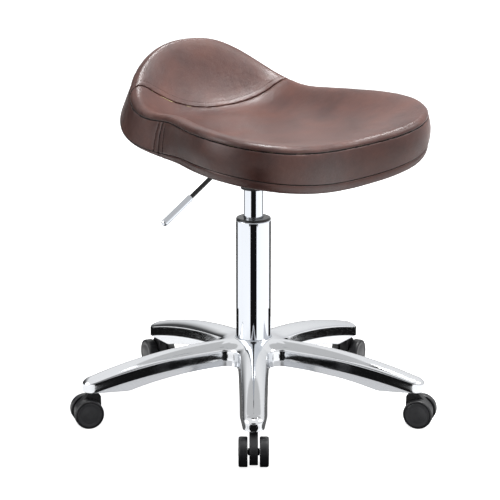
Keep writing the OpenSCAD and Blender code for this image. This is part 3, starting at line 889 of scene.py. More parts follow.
@dataclass
class SaddleSeat:
    """The upholstered seat: foam, sewn leather cover, lining and stitching.

    Lengths are in millimetres. The lip's pairs are the distance from a seam and how deep the
    leather dives there. The reaches say how far from a seam the leather puckers, and still is the
    share of the board's underside that keeps its CAD form. Each of the wrinkles has its number to
    a metre and its height.
    """

    form: SaddleForm
    columns: int = 288
    seam_y: float = 102.0
    seam_tilt: float = -7.2
    band_joint: float = 104.0
    stitch_off: float = 6.0
    band_off: float = 8.5
    row_half: float = 0.8
    stitch_sink: float = 0.12
    band_sink: float = 0.3
    allowance: tuple[float, float] = (2.4, 5.8)
    allowance_rise: float = 0.15
    rim_reach: float = 12.0
    seam_reach: float = 9.0
    joint_reach: float = 11.0
    still: float = 0.5
    # cut is the width of the near-black strip at each seam: dyed edge and painted seam shade
    cut: float = 0.8
    cover_share: float = 0.8
    cover_sharp: float = 75.0
    cloth_off: float = 1.05
    cloth_t: float = 0.6
    hem_share: float = 1.05
    sag: float = 0.25
    wrinkles: tuple[tuple[float, float], ...] = ((14.0, 0.45), (38.0, 0.22), (130.0, 0.5))
    lip: tuple[tuple[float, float], ...] = (
        (0.02, 3.4), (0.16, 1.9), (0.45, 0.95), (1.0, 0.35), (2.0, 0.08),
    )

    def angles(self) -> list[float]:
        """Gives evenly spaced angles all round."""
        return [360 * i / self.columns for i in range(self.columns)]

    def seam_side(self, p: Vector) -> float:
        """Distance of a point behind the cross seam, in metres, negative in front of it."""
        return (p - self.seam_point(0.0)).dot(self.seam_normal())

    def seam_normal(self) -> Vector:
        """Gives the direction from the seat panel to the back panel, in plan."""
        t = math.radians(self.seam_tilt)
        return Vector((-math.sin(t), math.cos(t), 0.0))

    def seam_point(self, along: float) -> Vector:
        """Gives a point of the cross seam in plan, in metres, from its distance along it."""
        t = math.radians(self.seam_tilt)
        return Vector((along * math.cos(t), self.seam_y + along * math.sin(t), 0.0)) * MM

    def wrinkle(self, p: Vector, near: float) -> float:
        """Works out how far the leather stands off its smooth shape.

        Args:
            p: The place.
            near: Nearness to a seam, from 0 to 1.

        Returns:
            The distance outwards, in metres.
        """
        broad, soft, pucker = self.wrinkles
        rise = noise.noise(p * broad[0]) * broad[1]
        rise += noise.noise(p * soft[0] + Vector((3.1, 0.7, 5.2))) * soft[1]
        rise += noise.noise(p * pucker[0] + Vector((9.4, 2.6, 1.3))) * pucker[1] * near
        return rise * MM

    def settle(self, bm: bmesh.types.BMesh, nearness: Callable[[Vector], float]) -> None:
        """Moves the leather off its smooth shape along its normals.

        Args:
            bm: The cover's outer sheet.
            nearness: Gives nearness to a seam, from 0 to 1, at a place.
        """
        bm.normal_update()
        for vert in bm.verts:
            vert.co += vert.normal * self.wrinkle(vert.co, nearness(vert.co))

    def top_sheet(self) -> bmesh.types.BMesh:
        """Draws the whole top as one sheet, from the middle of the dish to the top seam."""
        form = self.form
        bm = bmesh.new()
        rings = 52
        dish = [1 - (1 - t / rings) ** 1.5 for t in range(1, rings + 1)]
        rows = [[form.cover(a, s) for a in self.angles()] for s in dish]
        arc = form.roll * math.pi / 2
        places = [0.08, 0.18, 0.28, 0.38, 0.48, 0.58, 0.66, 0.74, 0.8]
        rows += [[form.cover(a, 1 + s) for a in self.angles()] for s in places]
        for off, depth in reversed(self.lip):
            rows.append([form.cover(a, 2 - off / arc, depth) for a in self.angles()])
        made = loft(bm, rows, True)
        close_ring(bm, made[0])
        outward(bm, lambda c: c - UP * 0.05)
        return bm

    def near_rim(self, p: Vector) -> float:
        """Nearness of a place on the top to the top seam, from 0 to 1."""
        a, r = self.form.polar(p.x / MM, p.y / MM)
        return max(0.0, 1 - (self.form.reach(a) - r) / self.rim_reach)

    def rim_gap(self, p: Vector) -> float:
        """Measures how far a place on the rolled edge is from the top seam.

        Args:
            p: The place in metres.

        Returns:
            The distance along the leather, in millimetres.
        """
        form = self.form
        a, r = form.polar(p.x / MM, p.y / MM)
        out = r - form.reach(a) + form.roll
        if out <= 0:
            return form.roll
        return form.roll * math.atan2(p.z / MM - form.seam_z(a), out)

    def near_cross(self, p: Vector) -> float:
        """Nearness of a place on the top to either of its seams, from 0 to 1."""
        return max(self.near_rim(p), 1 - abs(self.seam_side(p)) / (self.seam_reach * MM), 0.0)

    def per_degree(self) -> float:
        """Length of one degree of the band at its joints."""
        return self.form.reach(self.band_joint) * math.radians(1.0)

    def joint_gap(self, a: float) -> float:
        """Distance of a place on the band from the nearer side seam, by its angle."""
        return abs(min(a, 360 - a) - self.band_joint) * self.per_degree()

    def lip_depth(self, off: float, match: float) -> float:
        """Gives how deep the leather dives at one of the lip's distances, and none between them."""
        return next((depth for edge, depth in self.lip if abs(off - edge) < match), 0.0)

    def sewn(self, name: str, node: str, bm: bmesh.types.BMesh) -> bpy.types.Object:
        """Turns a sheet into a piece of leather with its thickness.

        Args:
            name: The piece's name.
            node: The CAD node that it replaces.
            bm: Its outer face.

        Returns:
            The piece.
        """
        # The faces marked 1 at the seams get the near-black finish: dyed edge and painted seam shade
        obj = piece(name, bm, LEATHER, Body.SEAT, [node], self.cover_sharp, DYED_EDGE_AND_SEAM_SHADE)
        modify(obj, "SOLIDIFY", thickness=self.form.skin * self.cover_share * MM, offset=-1.0)
        return obj

    def panel(self, behind: bool) -> None:
        """Cuts one panel out of the top, along the cross seam.

        Args:
            behind: Whether it is the panel behind the seam.
        """
        bm = self.top_sheet()
        self.settle(bm, self.near_cross)
        side, match = 1.0 if behind else -1.0, 0.05
        row = [self.stitch_off - self.row_half, self.stitch_off, self.stitch_off + self.row_half]
        offs = [off for off, _ in self.lip] + [3.4] + row + [8.5]
        for off in offs:
            bmesh.ops.bisect_plane(
                bm, geom=everything(bm), dist=WELD, plane_no=self.seam_normal() * side,
                plane_co=self.seam_point(0.0) + self.seam_normal() * side * off * MM,
                clear_inner=off == offs[0],
            )
        bm.normal_update()
        for vert in bm.verts:
            off = self.seam_side(vert.co) * side / MM
            sunk = self.lip_depth(off, match)
            if behind and abs(off - self.stitch_off) < match:
                sunk = self.stitch_sink
            vert.co -= vert.normal * sunk * MM
        # Faces within the cut of the cross seam or the top seam take the near-black finish, painted shade in
        # the seam groove
        for face in bm.faces:
            middle = face.calc_center_median()
            if self.seam_side(middle) * side < self.cut * MM or self.rim_gap(middle) < self.cut:
                face.material_index = 1
        name, node = ("back_cover", "back_panel") if behind else ("seat_cover", "seat_panel")
        obj = self.sewn(name, node, bm)

    def band(self, front: bool) -> None:
        """Draws one length of the band, from the top seam down and in under the board.

        Args:
            front: Whether it is the front length.
        """
        form = self.form
        start = -self.band_joint if front else self.band_joint
        end = self.band_joint if front else 360 - self.band_joint
        per_deg, match = self.per_degree(), 0.06
        row = [self.band_off - self.row_half, self.band_off, self.band_off + self.row_half]
        margins = [off for off, _ in self.lip] + [3.2, 5.4] + row
        count = int((end - start) / 1.25)
        clear = 12 / per_deg
        angles = [start + (end - start) * i / count for i in range(1, count)]
        angles = [a for a in angles if start + clear < a < end - clear]
        angles = [start + m / per_deg for m in margins] + angles
        angles += [end - m / per_deg for m in reversed(margins)]
        rows = [
            [form.cover(a, s, depth) for s, depth in self.band_section(form.face_h(a))] for a in angles
        ]
        bm = bmesh.new()
        loft(bm, rows, False)
        outward(bm, lambda c: Vector((0.0, -form.ahead * MM, c.z + 0.01)))
        bm.normal_update()
        for vert in bm.verts:
            place = vert.co / MM
            a = form.polar(place.x, place.y)[0] % 360
            off = self.joint_gap(a)
            high = abs(place.z - form.seam_z(a))
            near = max(0.0, 1 - off / self.joint_reach, 1 - high / self.seam_reach)
            sunk = self.lip_depth(off, match)
            if abs(off - self.band_off) < match:
                sunk = self.band_sink
            elif self.allowance[0] < off < self.allowance[1]:
                sunk = -self.allowance_rise
            vert.co += vert.normal * (self.wrinkle(vert.co, near) - sunk * MM)
        # Faces at the top seam, the side joints and the lower fold take the near-black finish, painted shade
        # in the seams
        for face in bm.faces:
            middle = face.calc_center_median() / MM
            a = form.polar(middle.x, middle.y)[0] % 360
            down = form.seam_z(a) - middle.z
            off = self.joint_gap(a)
            if down < self.cut or off < self.cut or abs(down - form.face_h(a)) < self.cut * 0.9:
                face.material_index = 1
        node = "front_band" if front else "rear_band"
        self.sewn(f"{node}_cover", node, bm)

    def band_section(self, height: float) -> list[tuple[float, float]]:
        """Gives the places and depths of the band's section, with its lower seam pinched in.

        Args:
            height: The band's height at that angle.

        Returns:
            Places along the section with their depths.
        """
        top = [(2 + off / height, depth) for off, depth in self.lip]
        face = [(2 + t, 0.0) for t in (0.09, 0.15, 0.22, 0.3, 0.4, 0.5, 0.6, 0.7, 0.8, 0.88, 0.93)]
        pinch = [(3 - off / height, depth) for off, depth in ((1.8, 0.0), (0.8, 0.3), (0.3, 0.9))]
        fold = [(3.0, 1.3), (3.03, 0.9), (3.07, 0.25), (3.14, 0.0)]
        turn = [(3 + t, 0.0) for t in (0.22, 0.34, 0.46, 0.58, 0.7, 0.82, 0.92, 1.0)]
        under = [(4 + t, 0.0) for t in (0.15, 0.3, 0.5, 0.7, 0.85, 1.0)]
        return top + face + pinch + fold + turn + under

    def foam(self) -> None:
        """Draws the moulded foam under the cover."""
        form = self.form
        depth = form.skin + 2.4
        steps = [0.02, 0.2, 0.4, 0.55, 0.68, 0.78, 0.86, 0.92, 0.97, 1.0, 1.3, 1.6, 1.85, 2.0]
        steps += [2.2, 2.45, 2.7, 2.95, 3.2, 3.45, 3.7, 3.95]
        angles = self.angles()[::2]
        rows = [[form.cover(a, s, depth) for a in angles] for s in steps]
        for share in (0.97, 0.9, 0.8, 0.65, 0.45, 0.2, 0.03):
            spots = [(a, form.turn_edge(a) * share) for a in angles]
            rows.append([form.at(a, r, form.board_under(a, r) + form.board_t) for a, r in spots])
        bm = bmesh.new()
        made = loft(bm, rows, True)
        close_ring(bm, made[0])
        close_ring(bm, made[-1])
        bmesh.ops.recalc_face_normals(bm, faces=bm.faces[:])
        obj = piece("foam_core", bm, FOAM, Body.SEAT, ["foam_cushion"], 60.0)

    def lining(self) -> None:
        """Draws the cloth under the board, open round the seat plate."""
        form = self.form
        low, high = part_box("seat_plate")
        angles = self.angles()[::2]
        rows = [[form.cover(a, s, -self.cloth_off) for a in angles] for s in (4.4, 4.6, 4.8, 5.0)]
        for share in (0.95, 0.88, 0.8, 0.7, 0.6, 0.45, 0.3, 0.15, 0.04):
            spots = [(a, (form.turn_edge(a) - form.turn_in) * share) for a in angles]
            rows.append([
                form.at(a, r, form.board_under(a, r) - form.skin - form.under_gap - self.cloth_off)
                for a, r in spots
            ])
        bm = bmesh.new()
        made = loft(bm, rows, True)
        close_ring(bm, made[-1])
        outward(bm, lambda c: c + UP * 0.05)
        margin = 1.5 * MM
        window = [
            (Vector((high.x + margin, 0, 0)), Vector((1, 0, 0))),
            (Vector((low.x - margin, 0, 0)), Vector((-1, 0, 0))),
            (Vector((0, high.y + margin, 0)), Vector((0, 1, 0))),
            (Vector((0, low.y - margin, 0)), Vector((0, -1, 0))),
        ]
        for spot, way in window:
            bmesh.ops.bisect_plane(bm, geom=everything(bm), dist=WELD, plane_co=spot, plane_no=way)
        inside = [
            f for f in bm.faces
            if all((f.calc_center_median() - spot).dot(way) < 0 for spot, way in window)
        ]
        bmesh.ops.delete(bm, geom=inside, context="FACES")
        bm.normal_update()
        for vert in bm.verts:
            sag = noise.noise(vert.co * 30.0) * 0.5 + noise.noise(vert.co * 9.0) * 0.8
            vert.co += vert.normal * abs(sag) * MM * self.sag
        area = sum(f.calc_area() for f in bm.faces)
        obj = piece("under_lining", bm, LINING, Body.SEAT, ["under_cloth"], 60.0)
        modify(obj, "SOLIDIFY", thickness=self.cloth_t * MM, offset=-1.0)

    def follow(self, node: str, name: str, finish: Any, whole: bool) -> None:
        """Copies a CAD node and moves it with the underside of the drawn seat.

        Args:
            node: The node.
            name: The new piece's name.
            finish: Its finish.
            whole: True moves each solid as one, False lets its shape follow.
        """
        drawn = self.form
        plain = SaddleForm(
            reach_at=(183, 231, 158, 188, 187), rise_at=(6, 25, 25, 40, 96),
            band_at=(46, 43, 34, 31, 36), flare_at=(-2, 0, 9, 12, 9),
        )
        bm = merged(node)
        groups = islands(bm) if whole else [[vert] for vert in bm.verts]
        for group in groups:
            middle = sum((vert.co for vert in group), Vector()) / len(group) / MM
            a, r = drawn.polar(middle.x, middle.y)
            share = max(0.0, r / plain.turn_edge(a) - self.still) / (1 - self.still)
            goal = r + (drawn.turn_edge(a) - plain.turn_edge(a)) * share
            lift = drawn.board_under(a, goal) - plain.board_under(a, r)
            shift = drawn.at(a, goal, lift) - drawn.at(a, r, 0.0)
            for vert in group:
                vert.co += shift
        piece(name, bm, finish, Body.SEAT, [node], 30.0)

    def stitches(self) -> None:
        """Sews the cross seam and the two band seams."""
        form = self.form
        ahead = self.seam_normal() * self.stitch_off * MM
        path, ups = [], []
        for k in range(-130, 131):
            spot = (self.seam_point(float(k)) + ahead) / MM
            a, r = form.polar(spot.x, spot.y)
            if r > form.reach(a) - 1.5:
                continue
            here = form.top_at(spot.x, spot.y)
            dx = form.top_at(spot.x + 1, spot.y) - here
            dy = form.top_at(spot.x, spot.y + 1) - here
            up = dx.cross(dy).normalized()
            here += up * (self.wrinkle(here, 0.3) - self.stitch_sink * MM)
            path.append(here)
            ups.append(up)
        fine = Stitching(3.4, 1.1, 0.38)
        fine.row(path, lambda i: ups[i])
        piece("cross_stitches", fine.bm, BROWN_THREAD, Body.SEAT)
        thread = Stitching(3.6, 0.9, 0.6)
        for side in (-1, 1):
            for off in (-self.band_off, self.band_off):
                a = side * (self.band_joint + off / self.per_degree())
                path = [form.cover(a, 2.06 + 0.9 * t / 24, -0.05) for t in range(25)]
                out = Vector((math.sin(math.radians(a)), -math.cos(math.radians(a)), 0.0))
                path = [p + out * self.wrinkle(p, 0.3) for p in path]
                thread.row(path, lambda i, out=out: out)
        piece("band_stitches", thread.bm, THREAD, Body.SEAT)

    def build(self) -> None:
        """Makes every piece of the seat."""
        self.foam()
        self.panel(False)
        self.panel(True)
        self.band(True)
        self.band(False)
        self.lining()
        self.follow("seat_board", "moulded_board", PLYWOOD, False)
        self.follow("cover_staples", "crown_staples", ZINC, True)
        self.stitches()


# Base, column and casters


def merged(node: str) -> bmesh.types.BMesh:
    """Copies a CAD node's mesh with its triangles joined into flat faces.

    Args:
        node: The node's name.

    Returns:
        The joined mesh.
    """
    bm = bmesh.new()
    bm.from_mesh(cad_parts[node].data)
    bmesh.ops.remove_doubles(bm, verts=bm.verts[:], dist=0.01 * MM)
    bmesh.ops.dissolve_limit(
        bm, angle_limit=math.radians(0.5), verts=bm.verts[:], edges=bm.edges[:],
        use_dissolve_boundaries=False,
    )
    return bm


@dataclass
class StarBase:
    """The five-armed die-cast base: arched arms, open below, that flow into the column's socket.

    A half arm between its axis and the bisector of the next arm is drawn, then mirrored and turned.
    Its outline has an arc to the next arm, a side and the tip, each with its steps, and the
    spine's points fan out over the first join of them.
    """

    arms: int = ARMS
    turn: float = FIRST_ARM
    stem_circle: float = STEM_CIRCLE
    tip_half: float = 14.9
    root_more: float = 7.1
    crotch_r: float = 20.0
    spine_r: float = 27.0
    hub_r: float = 33.0
    hub_top: float = HUB_TOP
    hub_foot: float = 74.0
    spine_drop: float = 0.5
    fall: float = 36.0
    fall_power: float = 2.2
    crown: float = 11.0
    ridge: float = 0.4
    depth: float = 33.0
    foot: float = ARM_FOOT
    foot_fall: float = 5.0
    foot_power: float = 2.4
    foot_reach: float = 2.45
    tip_flat: float = 4.0
    flank: float = 13.5
    flare: float = 0.2
    wall: float = 4.0
    arc_steps: int = 10
    side_steps: int = 36
    tip_steps: int = 12
    join: int = 15
    back_steps: int = 14
    weld: float = 0.005

    def top(self, r: float) -> float:
        """Height of the arm's spine at a radius."""
        return self.hub_top - self.spine_drop - self.fall * (r / self.stem_circle) ** self.fall_power

    def shoulder(self, r: float) -> float:
        """Height at a radius where the back passes into the side."""
        return self.top(r) - self.crown + self.tip_flat * (r / self.stem_circle) ** 3

    def low(self, r: float) -> float:
        """Height of the arm's foot at a radius."""
        share = r * self.foot_reach / self.stem_circle
        return max(self.foot, self.hub_top - self.depth - self.foot_fall * share**self.foot_power)

    def outline(self) -> list[tuple[Vector, Vector, Vector]]:
        """Gives the half arm's edge in plan, its outward normals and the matching spine points."""
        lean = self.root_more / self.stem_circle
        half = self.tip_half + self.root_more
        sector = math.pi / self.arms
        away = self.crotch_r * math.hypot(1, lean) + half
        far = away / (math.sin(sector) + lean * math.cos(sector))
        middle = Vector((math.cos(sector), math.sin(sector))) * far
        side = Vector((lean, 1.0)).normalized()
        start, end = math.pi + sector, 1.5 * math.pi - math.atan(lean)
        out = []
        for i in range(self.arc_steps + 1):
            t = start + (end - start) * i / self.arc_steps
            way = Vector((math.cos(t), math.sin(t)))
            out.append((middle + way * self.crotch_r, -way))
        first = out[-1][0]
        last = Vector((self.stem_circle, 0.0)) + side * self.tip_half
        for i in range(1, self.side_steps + 1):
            out.append((first.lerp(last, i / self.side_steps), side))
        full = math.pi / 2 - math.atan(lean)
        for i in range(1, self.tip_steps + 1):
            t = full * (1 - i / self.tip_steps)
            way = Vector((math.cos(t), math.sin(t)))
            out.append((Vector((self.stem_circle, 0.0)) + way * self.tip_half, way))
        side_end = self.arc_steps + self.side_steps
        made = []
        for i, (edge, normal) in enumerate(out):
            if i <= self.join:
                t = sector * (1 - i / self.join)
                spine = Vector((math.cos(t), math.sin(t))) * self.spine_r
            elif i <= side_end:
                share = (i - self.join) / (side_end - self.join)
                spine = Vector((self.spine_r + (self.stem_circle - self.spine_r) * share, 0.0))
            else:
                spine = Vector((self.stem_circle, 0.0))
            made.append((edge, normal, spine))
        return made

    def rows(self) -> list[list[Vector]]:
        """Gives the half arm's rows from the spine over the back, down the side and in under."""
        line = self.outline()
        rows = []
        for step in range(self.back_steps + 1):
            t = math.pi / 2 * step / self.back_steps
            row = []
            share = (1 - self.ridge) * math.cos(t) + self.ridge * (1 - math.sin(t))
            for edge, _, spine in line:
                spot = spine.lerp(edge, math.sin(t))
                shoulder = self.shoulder(edge.length)
                height = shoulder + (self.top(spine.length) - shoulder) * share
                row.append(Vector((spot.x, spot.y, height)))
            rows.append(row)
        for kind in range(9):
            rows.append([self.side_point(edge, normal, kind) for edge, normal, _ in line])
        for step in (0.85, 0.6, 0.3, 0.0):
            row = []
            for edge, normal, spine in line:
                inner = edge - normal * self.wall
                spot = spine.lerp(inner, step)
                shoulder = self.shoulder(edge.length) - 1
                rise = self.top(spine.length) - self.wall - shoulder
                row.append(Vector((spot.x, spot.y, shoulder + rise * math.sqrt(1 - step * step))))
            rows.append(row)
        return rows

    def side_point(self, edge: Vector, normal: Vector, kind: int) -> Vector:
        """Finds a point of the arm's side.

        Args:
            edge: The place on the outline.
            normal: The outline's normal there.
            kind: Which row, from the flank's top down the outside and up the inside.

        Returns:
            The point in millimetres.
        """
        shoulder = self.shoulder(edge.length)
        foot = self.low(edge.length)
        crease = max(shoulder - self.flank, foot + 1.2)
        out = self.flare * (crease - foot)
        inner = -self.wall
        off, z = (
            (0.0, shoulder - 0.33 * (shoulder - crease)), (0.05, shoulder - 0.66 * (shoulder - crease)),
            (0.1, crease + 0.3), (0.2, crease - 0.3), (out * 0.5 + 0.1, (crease + foot) / 2),
            (out, foot + 0.5), (out - 0.5, foot), (inner + 0.8, foot), (inner, foot + 0.8),
        )[kind]
        spot = edge + normal * off
        return Vector((spot.x, spot.y, z))

    def build(self) -> None:
        """Makes the base and the boss that holds the column."""
        bm = bmesh.new()
        rows = [[p * MM for p in row] for row in self.rows()]
        loft(bm, rows, False)
        bmesh.ops.duplicate(bm, geom=everything(bm))
        other_half = bm.verts[:][len(rows) * len(rows[0]):]
        bmesh.ops.scale(bm, vec=(1, -1, 1), verts=other_half)
        bmesh.ops.remove_doubles(bm, verts=bm.verts[:], dist=self.weld * MM)
        bmesh.ops.spin(
            bm, geom=everything(bm), cent=(0, 0, 0), axis=(0, 0, 1), angle=2 * math.pi, steps=self.arms,
            use_duplicate=True, use_merge=False,
        )
        bmesh.ops.remove_doubles(bm, verts=bm.verts[:], dist=self.weld * MM)
        bmesh.ops.dissolve_degenerate(bm, edges=bm.edges[:], dist=self.weld / 5 * MM)
        turn = Matrix.Rotation(math.radians(self.turn), 3, "Z")
        bmesh.ops.rotate(bm, verts=bm.verts[:], cent=(0, 0, 0), matrix=turn)
        bmesh.ops.recalc_face_normals(bm, faces=bm.faces[:])
        piece("cast_star", bm, BUFFED, Body.BASE, ["star_base"], 30.0)
        self.boss()
        for k in range(self.arms):
            self.stem_boss(k)

    def boss(self) -> None:
        """Turns the socket in the middle that holds the column."""
        top, foot, r = self.hub_top, self.hub_foot, self.hub_r
        bore, neck = 25.15, self.spine_r + 0.6
        bm = turned([
            (bore, top - 1.2), (bore + 1.2, top + 0.1), (neck, top - 0.35), (neck, top - 14),
            (r, top - 17), (r, foot + 1.5), (r - 1.5, foot), (bore + 1.0, foot), (bore - 0.4, foot + 1.4),
        ], 96)
        piece("column_socket", bm, BUFFED, Body.BASE, sharp_deg=40.0)

    def stem_boss(self, k: int) -> None:
        """Turns the socket of a caster's stem inside an arm's tip.

        Args:
            k: The arm's number from the front.
        """
        bore, r, foot = 5.6, self.tip_half - self.wall + 0.6, self.foot
        top = self.top(self.stem_circle) - self.wall - 2.0
        bm = turned([
            (bore, foot + 0.6), (bore + 0.6, foot + 0.05), (r - 0.6, foot + 0.05), (r, foot + 0.6),
            (r, top), (bore, top),
        ], 48)
        spot = heading(self.turn + 360 * k / self.arms) * self.stem_circle * MM
        bmesh.ops.translate(bm, verts=bm.verts[:], vec=spot)
        piece(f"stem_socket_{k + 1}", bm, BUFFED, Body.BASE, sharp_deg=40.0)


@dataclass
class Column:
    """The chromed standing tube with its bush, and the gas cylinder that slides in it."""

    tube_r: float = 25.0
    tube_foot: float = 71.0
    hub_top: float = HUB_TOP
    tube_top: float = 283.0
    wall: float = 1.5
    taper: float = 0.6
    floor: float = 3.0
    lip: float = 3.0
    cylinder_r: float = 14.0
    cylinder_foot: float = 90.5
    socket_foot: float = 328.0
    cylinder_top: float = 361.0
    valve_hole: float = 4.1
    steps: int = 144

    def spun(
        self, name: str, profile: Outline, finish: Any, body: Body, node: str
    ) -> None:
        """Turns one piece of the column from its outline.

        Args:
            name: The piece's name.
            profile: Radius and height of each point in millimetres.
            finish: Its finish.
            body: The body it rides on.
            node: The CAD node it replaces.
        """
        piece(name, turned(profile, self.steps), finish, body, [node], 30.0)

    def build(self) -> None:
        """Makes the tube, its bush and the cylinder."""
        r, top, foot = self.tube_r, self.tube_top, self.tube_foot
        inner, hole = r - self.wall, self.valve_hole
        self.spun("standing_tube", [
            (hole, foot), (r - self.taper - 1.0, foot), (r - self.taper, foot + 1.0), (r, self.hub_top),
            (r, top - 1.2), (r - 0.12, top - 0.6), (r - 0.45, top - 0.15), (r - 0.8, top), (inner, top),
            (inner, self.hub_top), (inner - self.taper, foot + self.floor), (hole, foot + self.floor),
        ], CHROME, Body.BASE, "outer_tube")
        bore, crest = self.cylinder_r + 0.06, top + self.lip
        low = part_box("guide_bush")[0].z / MM
        self.spun("bush_ring", [
            (bore + 0.5, low), (inner - 0.6, low), (inner - 0.1, low + 0.6), (inner - 0.1, top),
            (r - 0.5, top + 0.02), (r - 0.05, top + 0.3), (r - 0.05, top + 1.2), (r - 0.5, top + 2.1),
            (r - 1.5, top + 2.75), (r - 2.8, crest), (bore + 1.4, crest), (bore + 0.4, crest - 0.4),
            (bore, crest - 1.2), (bore, low + 0.5),
        ], ACETAL, Body.BASE, "guide_bush")
        c, end, rim = self.cylinder_r, self.cylinder_foot, self.cylinder_top
        self.spun("cylinder_shell", [
            (c - 1.8, end), (c - 0.6, end), (c, end + 0.6), (c, self.socket_foot), (c - 0.97, rim - 1),
            (c - 1.6, rim), (hole, rim), (hole, rim - 22), (c - 1.8, rim - 22),
        ], CHROME, Body.SEAT, "gas_cylinder")


@dataclass
class Caster:
    """A twin-wheel caster: centre body, zinc-plated stem, axle and two wheels."""

    number: int
    steer: float
    wheel_r: float = 21.0
    wheel_w: float = 12.8
    body_t: float = 11.9
    gap: float = 2.3
    trail: float = 9.0
    axle_r: float = 3.0
    pintle_r: float = 4.0
    collar_r: float = 6.5
    foot: float = ARM_FOOT
    body_top: float = 49.3

    def place(self) -> Matrix:
        """Gives the caster's place under its arm."""
        arm = FIRST_ARM + 360 / ARMS * (self.number - 1)
        spot = heading(arm) * STEM_CIRCLE * MM
        return Matrix.Translation(spot) @ Matrix.Rotation(math.radians(arm + self.steer), 4, "Z")

    def on_axle(self) -> Matrix:
        """Gives the place of the axle, with Z along it."""
        shift = Matrix.Translation(Vector((self.trail, 0, self.wheel_r)) * MM)
        return self.place() @ shift @ Matrix.Rotation(math.pi / 2, 4, "X")

    def node(self, part: str) -> str:
        """Names one of the caster's CAD nodes."""
        return f"caster_{self.number}_{part}"

    def housing(self) -> None:
        """Makes the centre body: a round-backed fin with a block round the stem."""
        r, top, axle = self.wheel_r - 2.5, self.body_top, self.wheel_r
        back = -2 * self.pintle_r
        disc = [
            (self.trail + r * math.cos(math.radians(t)), axle + r * math.sin(math.radians(t)))
            for t in range(196, 412, 6)
        ]
        front = [
            (self.collar_r - 1.0, top), (-self.collar_r + 0.6, top), (back + 0.6, top - 2.6),
            (back - 2.6, top - 6.6), (back - 3.0, axle + 4.0), (back, axle + 0.4),
        ]
        bm = bmesh.new()
        verts = [bm.verts.new((x * MM, -self.body_t / 2 * MM, z * MM)) for x, z in disc + front]
        face = bm.faces.new(verts)
        pulled = bmesh.ops.extrude_face_region(bm, geom=[face])["geom"]
        moved = [g for g in pulled if isinstance(g, bmesh.types.BMVert)]
        bmesh.ops.translate(bm, verts=moved, vec=(0, self.body_t * MM, 0))
        bmesh.ops.recalc_face_normals(bm, faces=bm.faces[:])
        rims = [e for e in bm.edges if len({round(v.co.y, 6) for v in e.verts}) == 1]
        bmesh.ops.bevel(
            bm, geom=rims, offset=1.3 * MM, offset_type="OFFSET", segments=4, profile=0.5,
            affect="EDGES", material=-1, clamp_overlap=True,
        )
        move(bm, self.place())
        bore, rim, half = self.axle_r + 0.1, self.axle_r + 2.0, self.body_t / 2 + self.gap - 0.3
        hub = turned([(bore, -half), (rim, -half), (rim, half), (bore, half)], 32)
        move(hub, self.on_axle())
        join(bm, hub)
        name, body = f"caster_body_{self.number}", f"caster_{self.number}"
        piece(name, bm, NYLON, body, [self.node("housing")], 40.0)

    def wheel(self, side: int) -> None:
        """Turns a wheel: crowned tread, ring groove and a dished face round its boss.

        Args:
            side: -1 for the left wheel and 1 for the right one.
        """
        r, w, a = self.wheel_r, self.wheel_w, self.axle_r
        bm = turned([
            (a + 0.05, 0), (a + 3, 0), (a + 3, w - 3.5), (r - 3, w - 3.5), (r - 3, 0), (r - 1.6, 0),
            (r - 0.7, 0.25), (r - 0.25, 0.8), (r, 1.9), (r, w - 3.4), (r - 0.15, w - 2.2),
            (r - 0.55, w - 1.25), (r - 1.1, w - 0.7), (r - 1.9, w - 0.35), (r - 2.8, w - 0.3),
            (r - 3.05, w - 0.4), (r - 3.15, w - 1.0), (r - 3.75, w - 1.0), (r - 3.85, w - 0.35),
            (r - 4.1, w - 0.2), (r - 8.0, w - 0.7), (r - 12.0, w - 0.35), (a + 3.6, w - 0.15),
            (a + 2.6, w - 0.02), (0, w), (0, w - 0.9), (a + 0.05, w - 0.9),
        ], 80)
        # The outer face takes the nylon painted lighter for the light it catches
        for face in bm.faces:
            middle = face.calc_center_median() / MM
            if middle.z > w - 0.9 and math.hypot(middle.x, middle.y) < r - 3.2:
                face.material_index = 1
        lift = Matrix.Translation((0, 0, (self.body_t / 2 + self.gap) * MM))
        flip = Matrix.Identity(4) if side > 0 else Matrix.Rotation(math.pi, 4, "X")
        move(bm, self.on_axle() @ flip @ lift)
        name = "right" if side > 0 else "left"
        piece(
            f"caster_wheel_{self.number}_{name}", bm, NYLON, f"caster_{self.number}_{name}",
            [self.node(f"wheel_{name}")], 28.0, WHEEL_FACE,
        )

    def stem(self) -> None:
        """Turns the plated stem with its collar."""
        c, p, top = self.collar_r, self.pintle_r, self.foot
        low = self.wheel_r + 2 * self.axle_r + 0.3
        bm = turned([
            (0, low), (p - 0.5, low), (p, low + 0.5), (p, top - 1.5), (c - 0.3, top - 1.5), (c, top - 1.2),
            (c, top - 0.3), (c - 0.3, top), (5.5, top), (5.5, top + 15), (4.5, top + 16), (0, top + 16),
        ], 48)
        move(bm, self.place())
        piece(f"caster_stem_{self.number}", bm, ZINC, Body.BASE, [self.node("stem")], 30.0)

    def build(self) -> None:
        """Makes the caster."""
        self.housing()
        self.stem()
        self.wheel(-1)
        self.wheel(1)
        paint([self.node("axle")], ZINC)


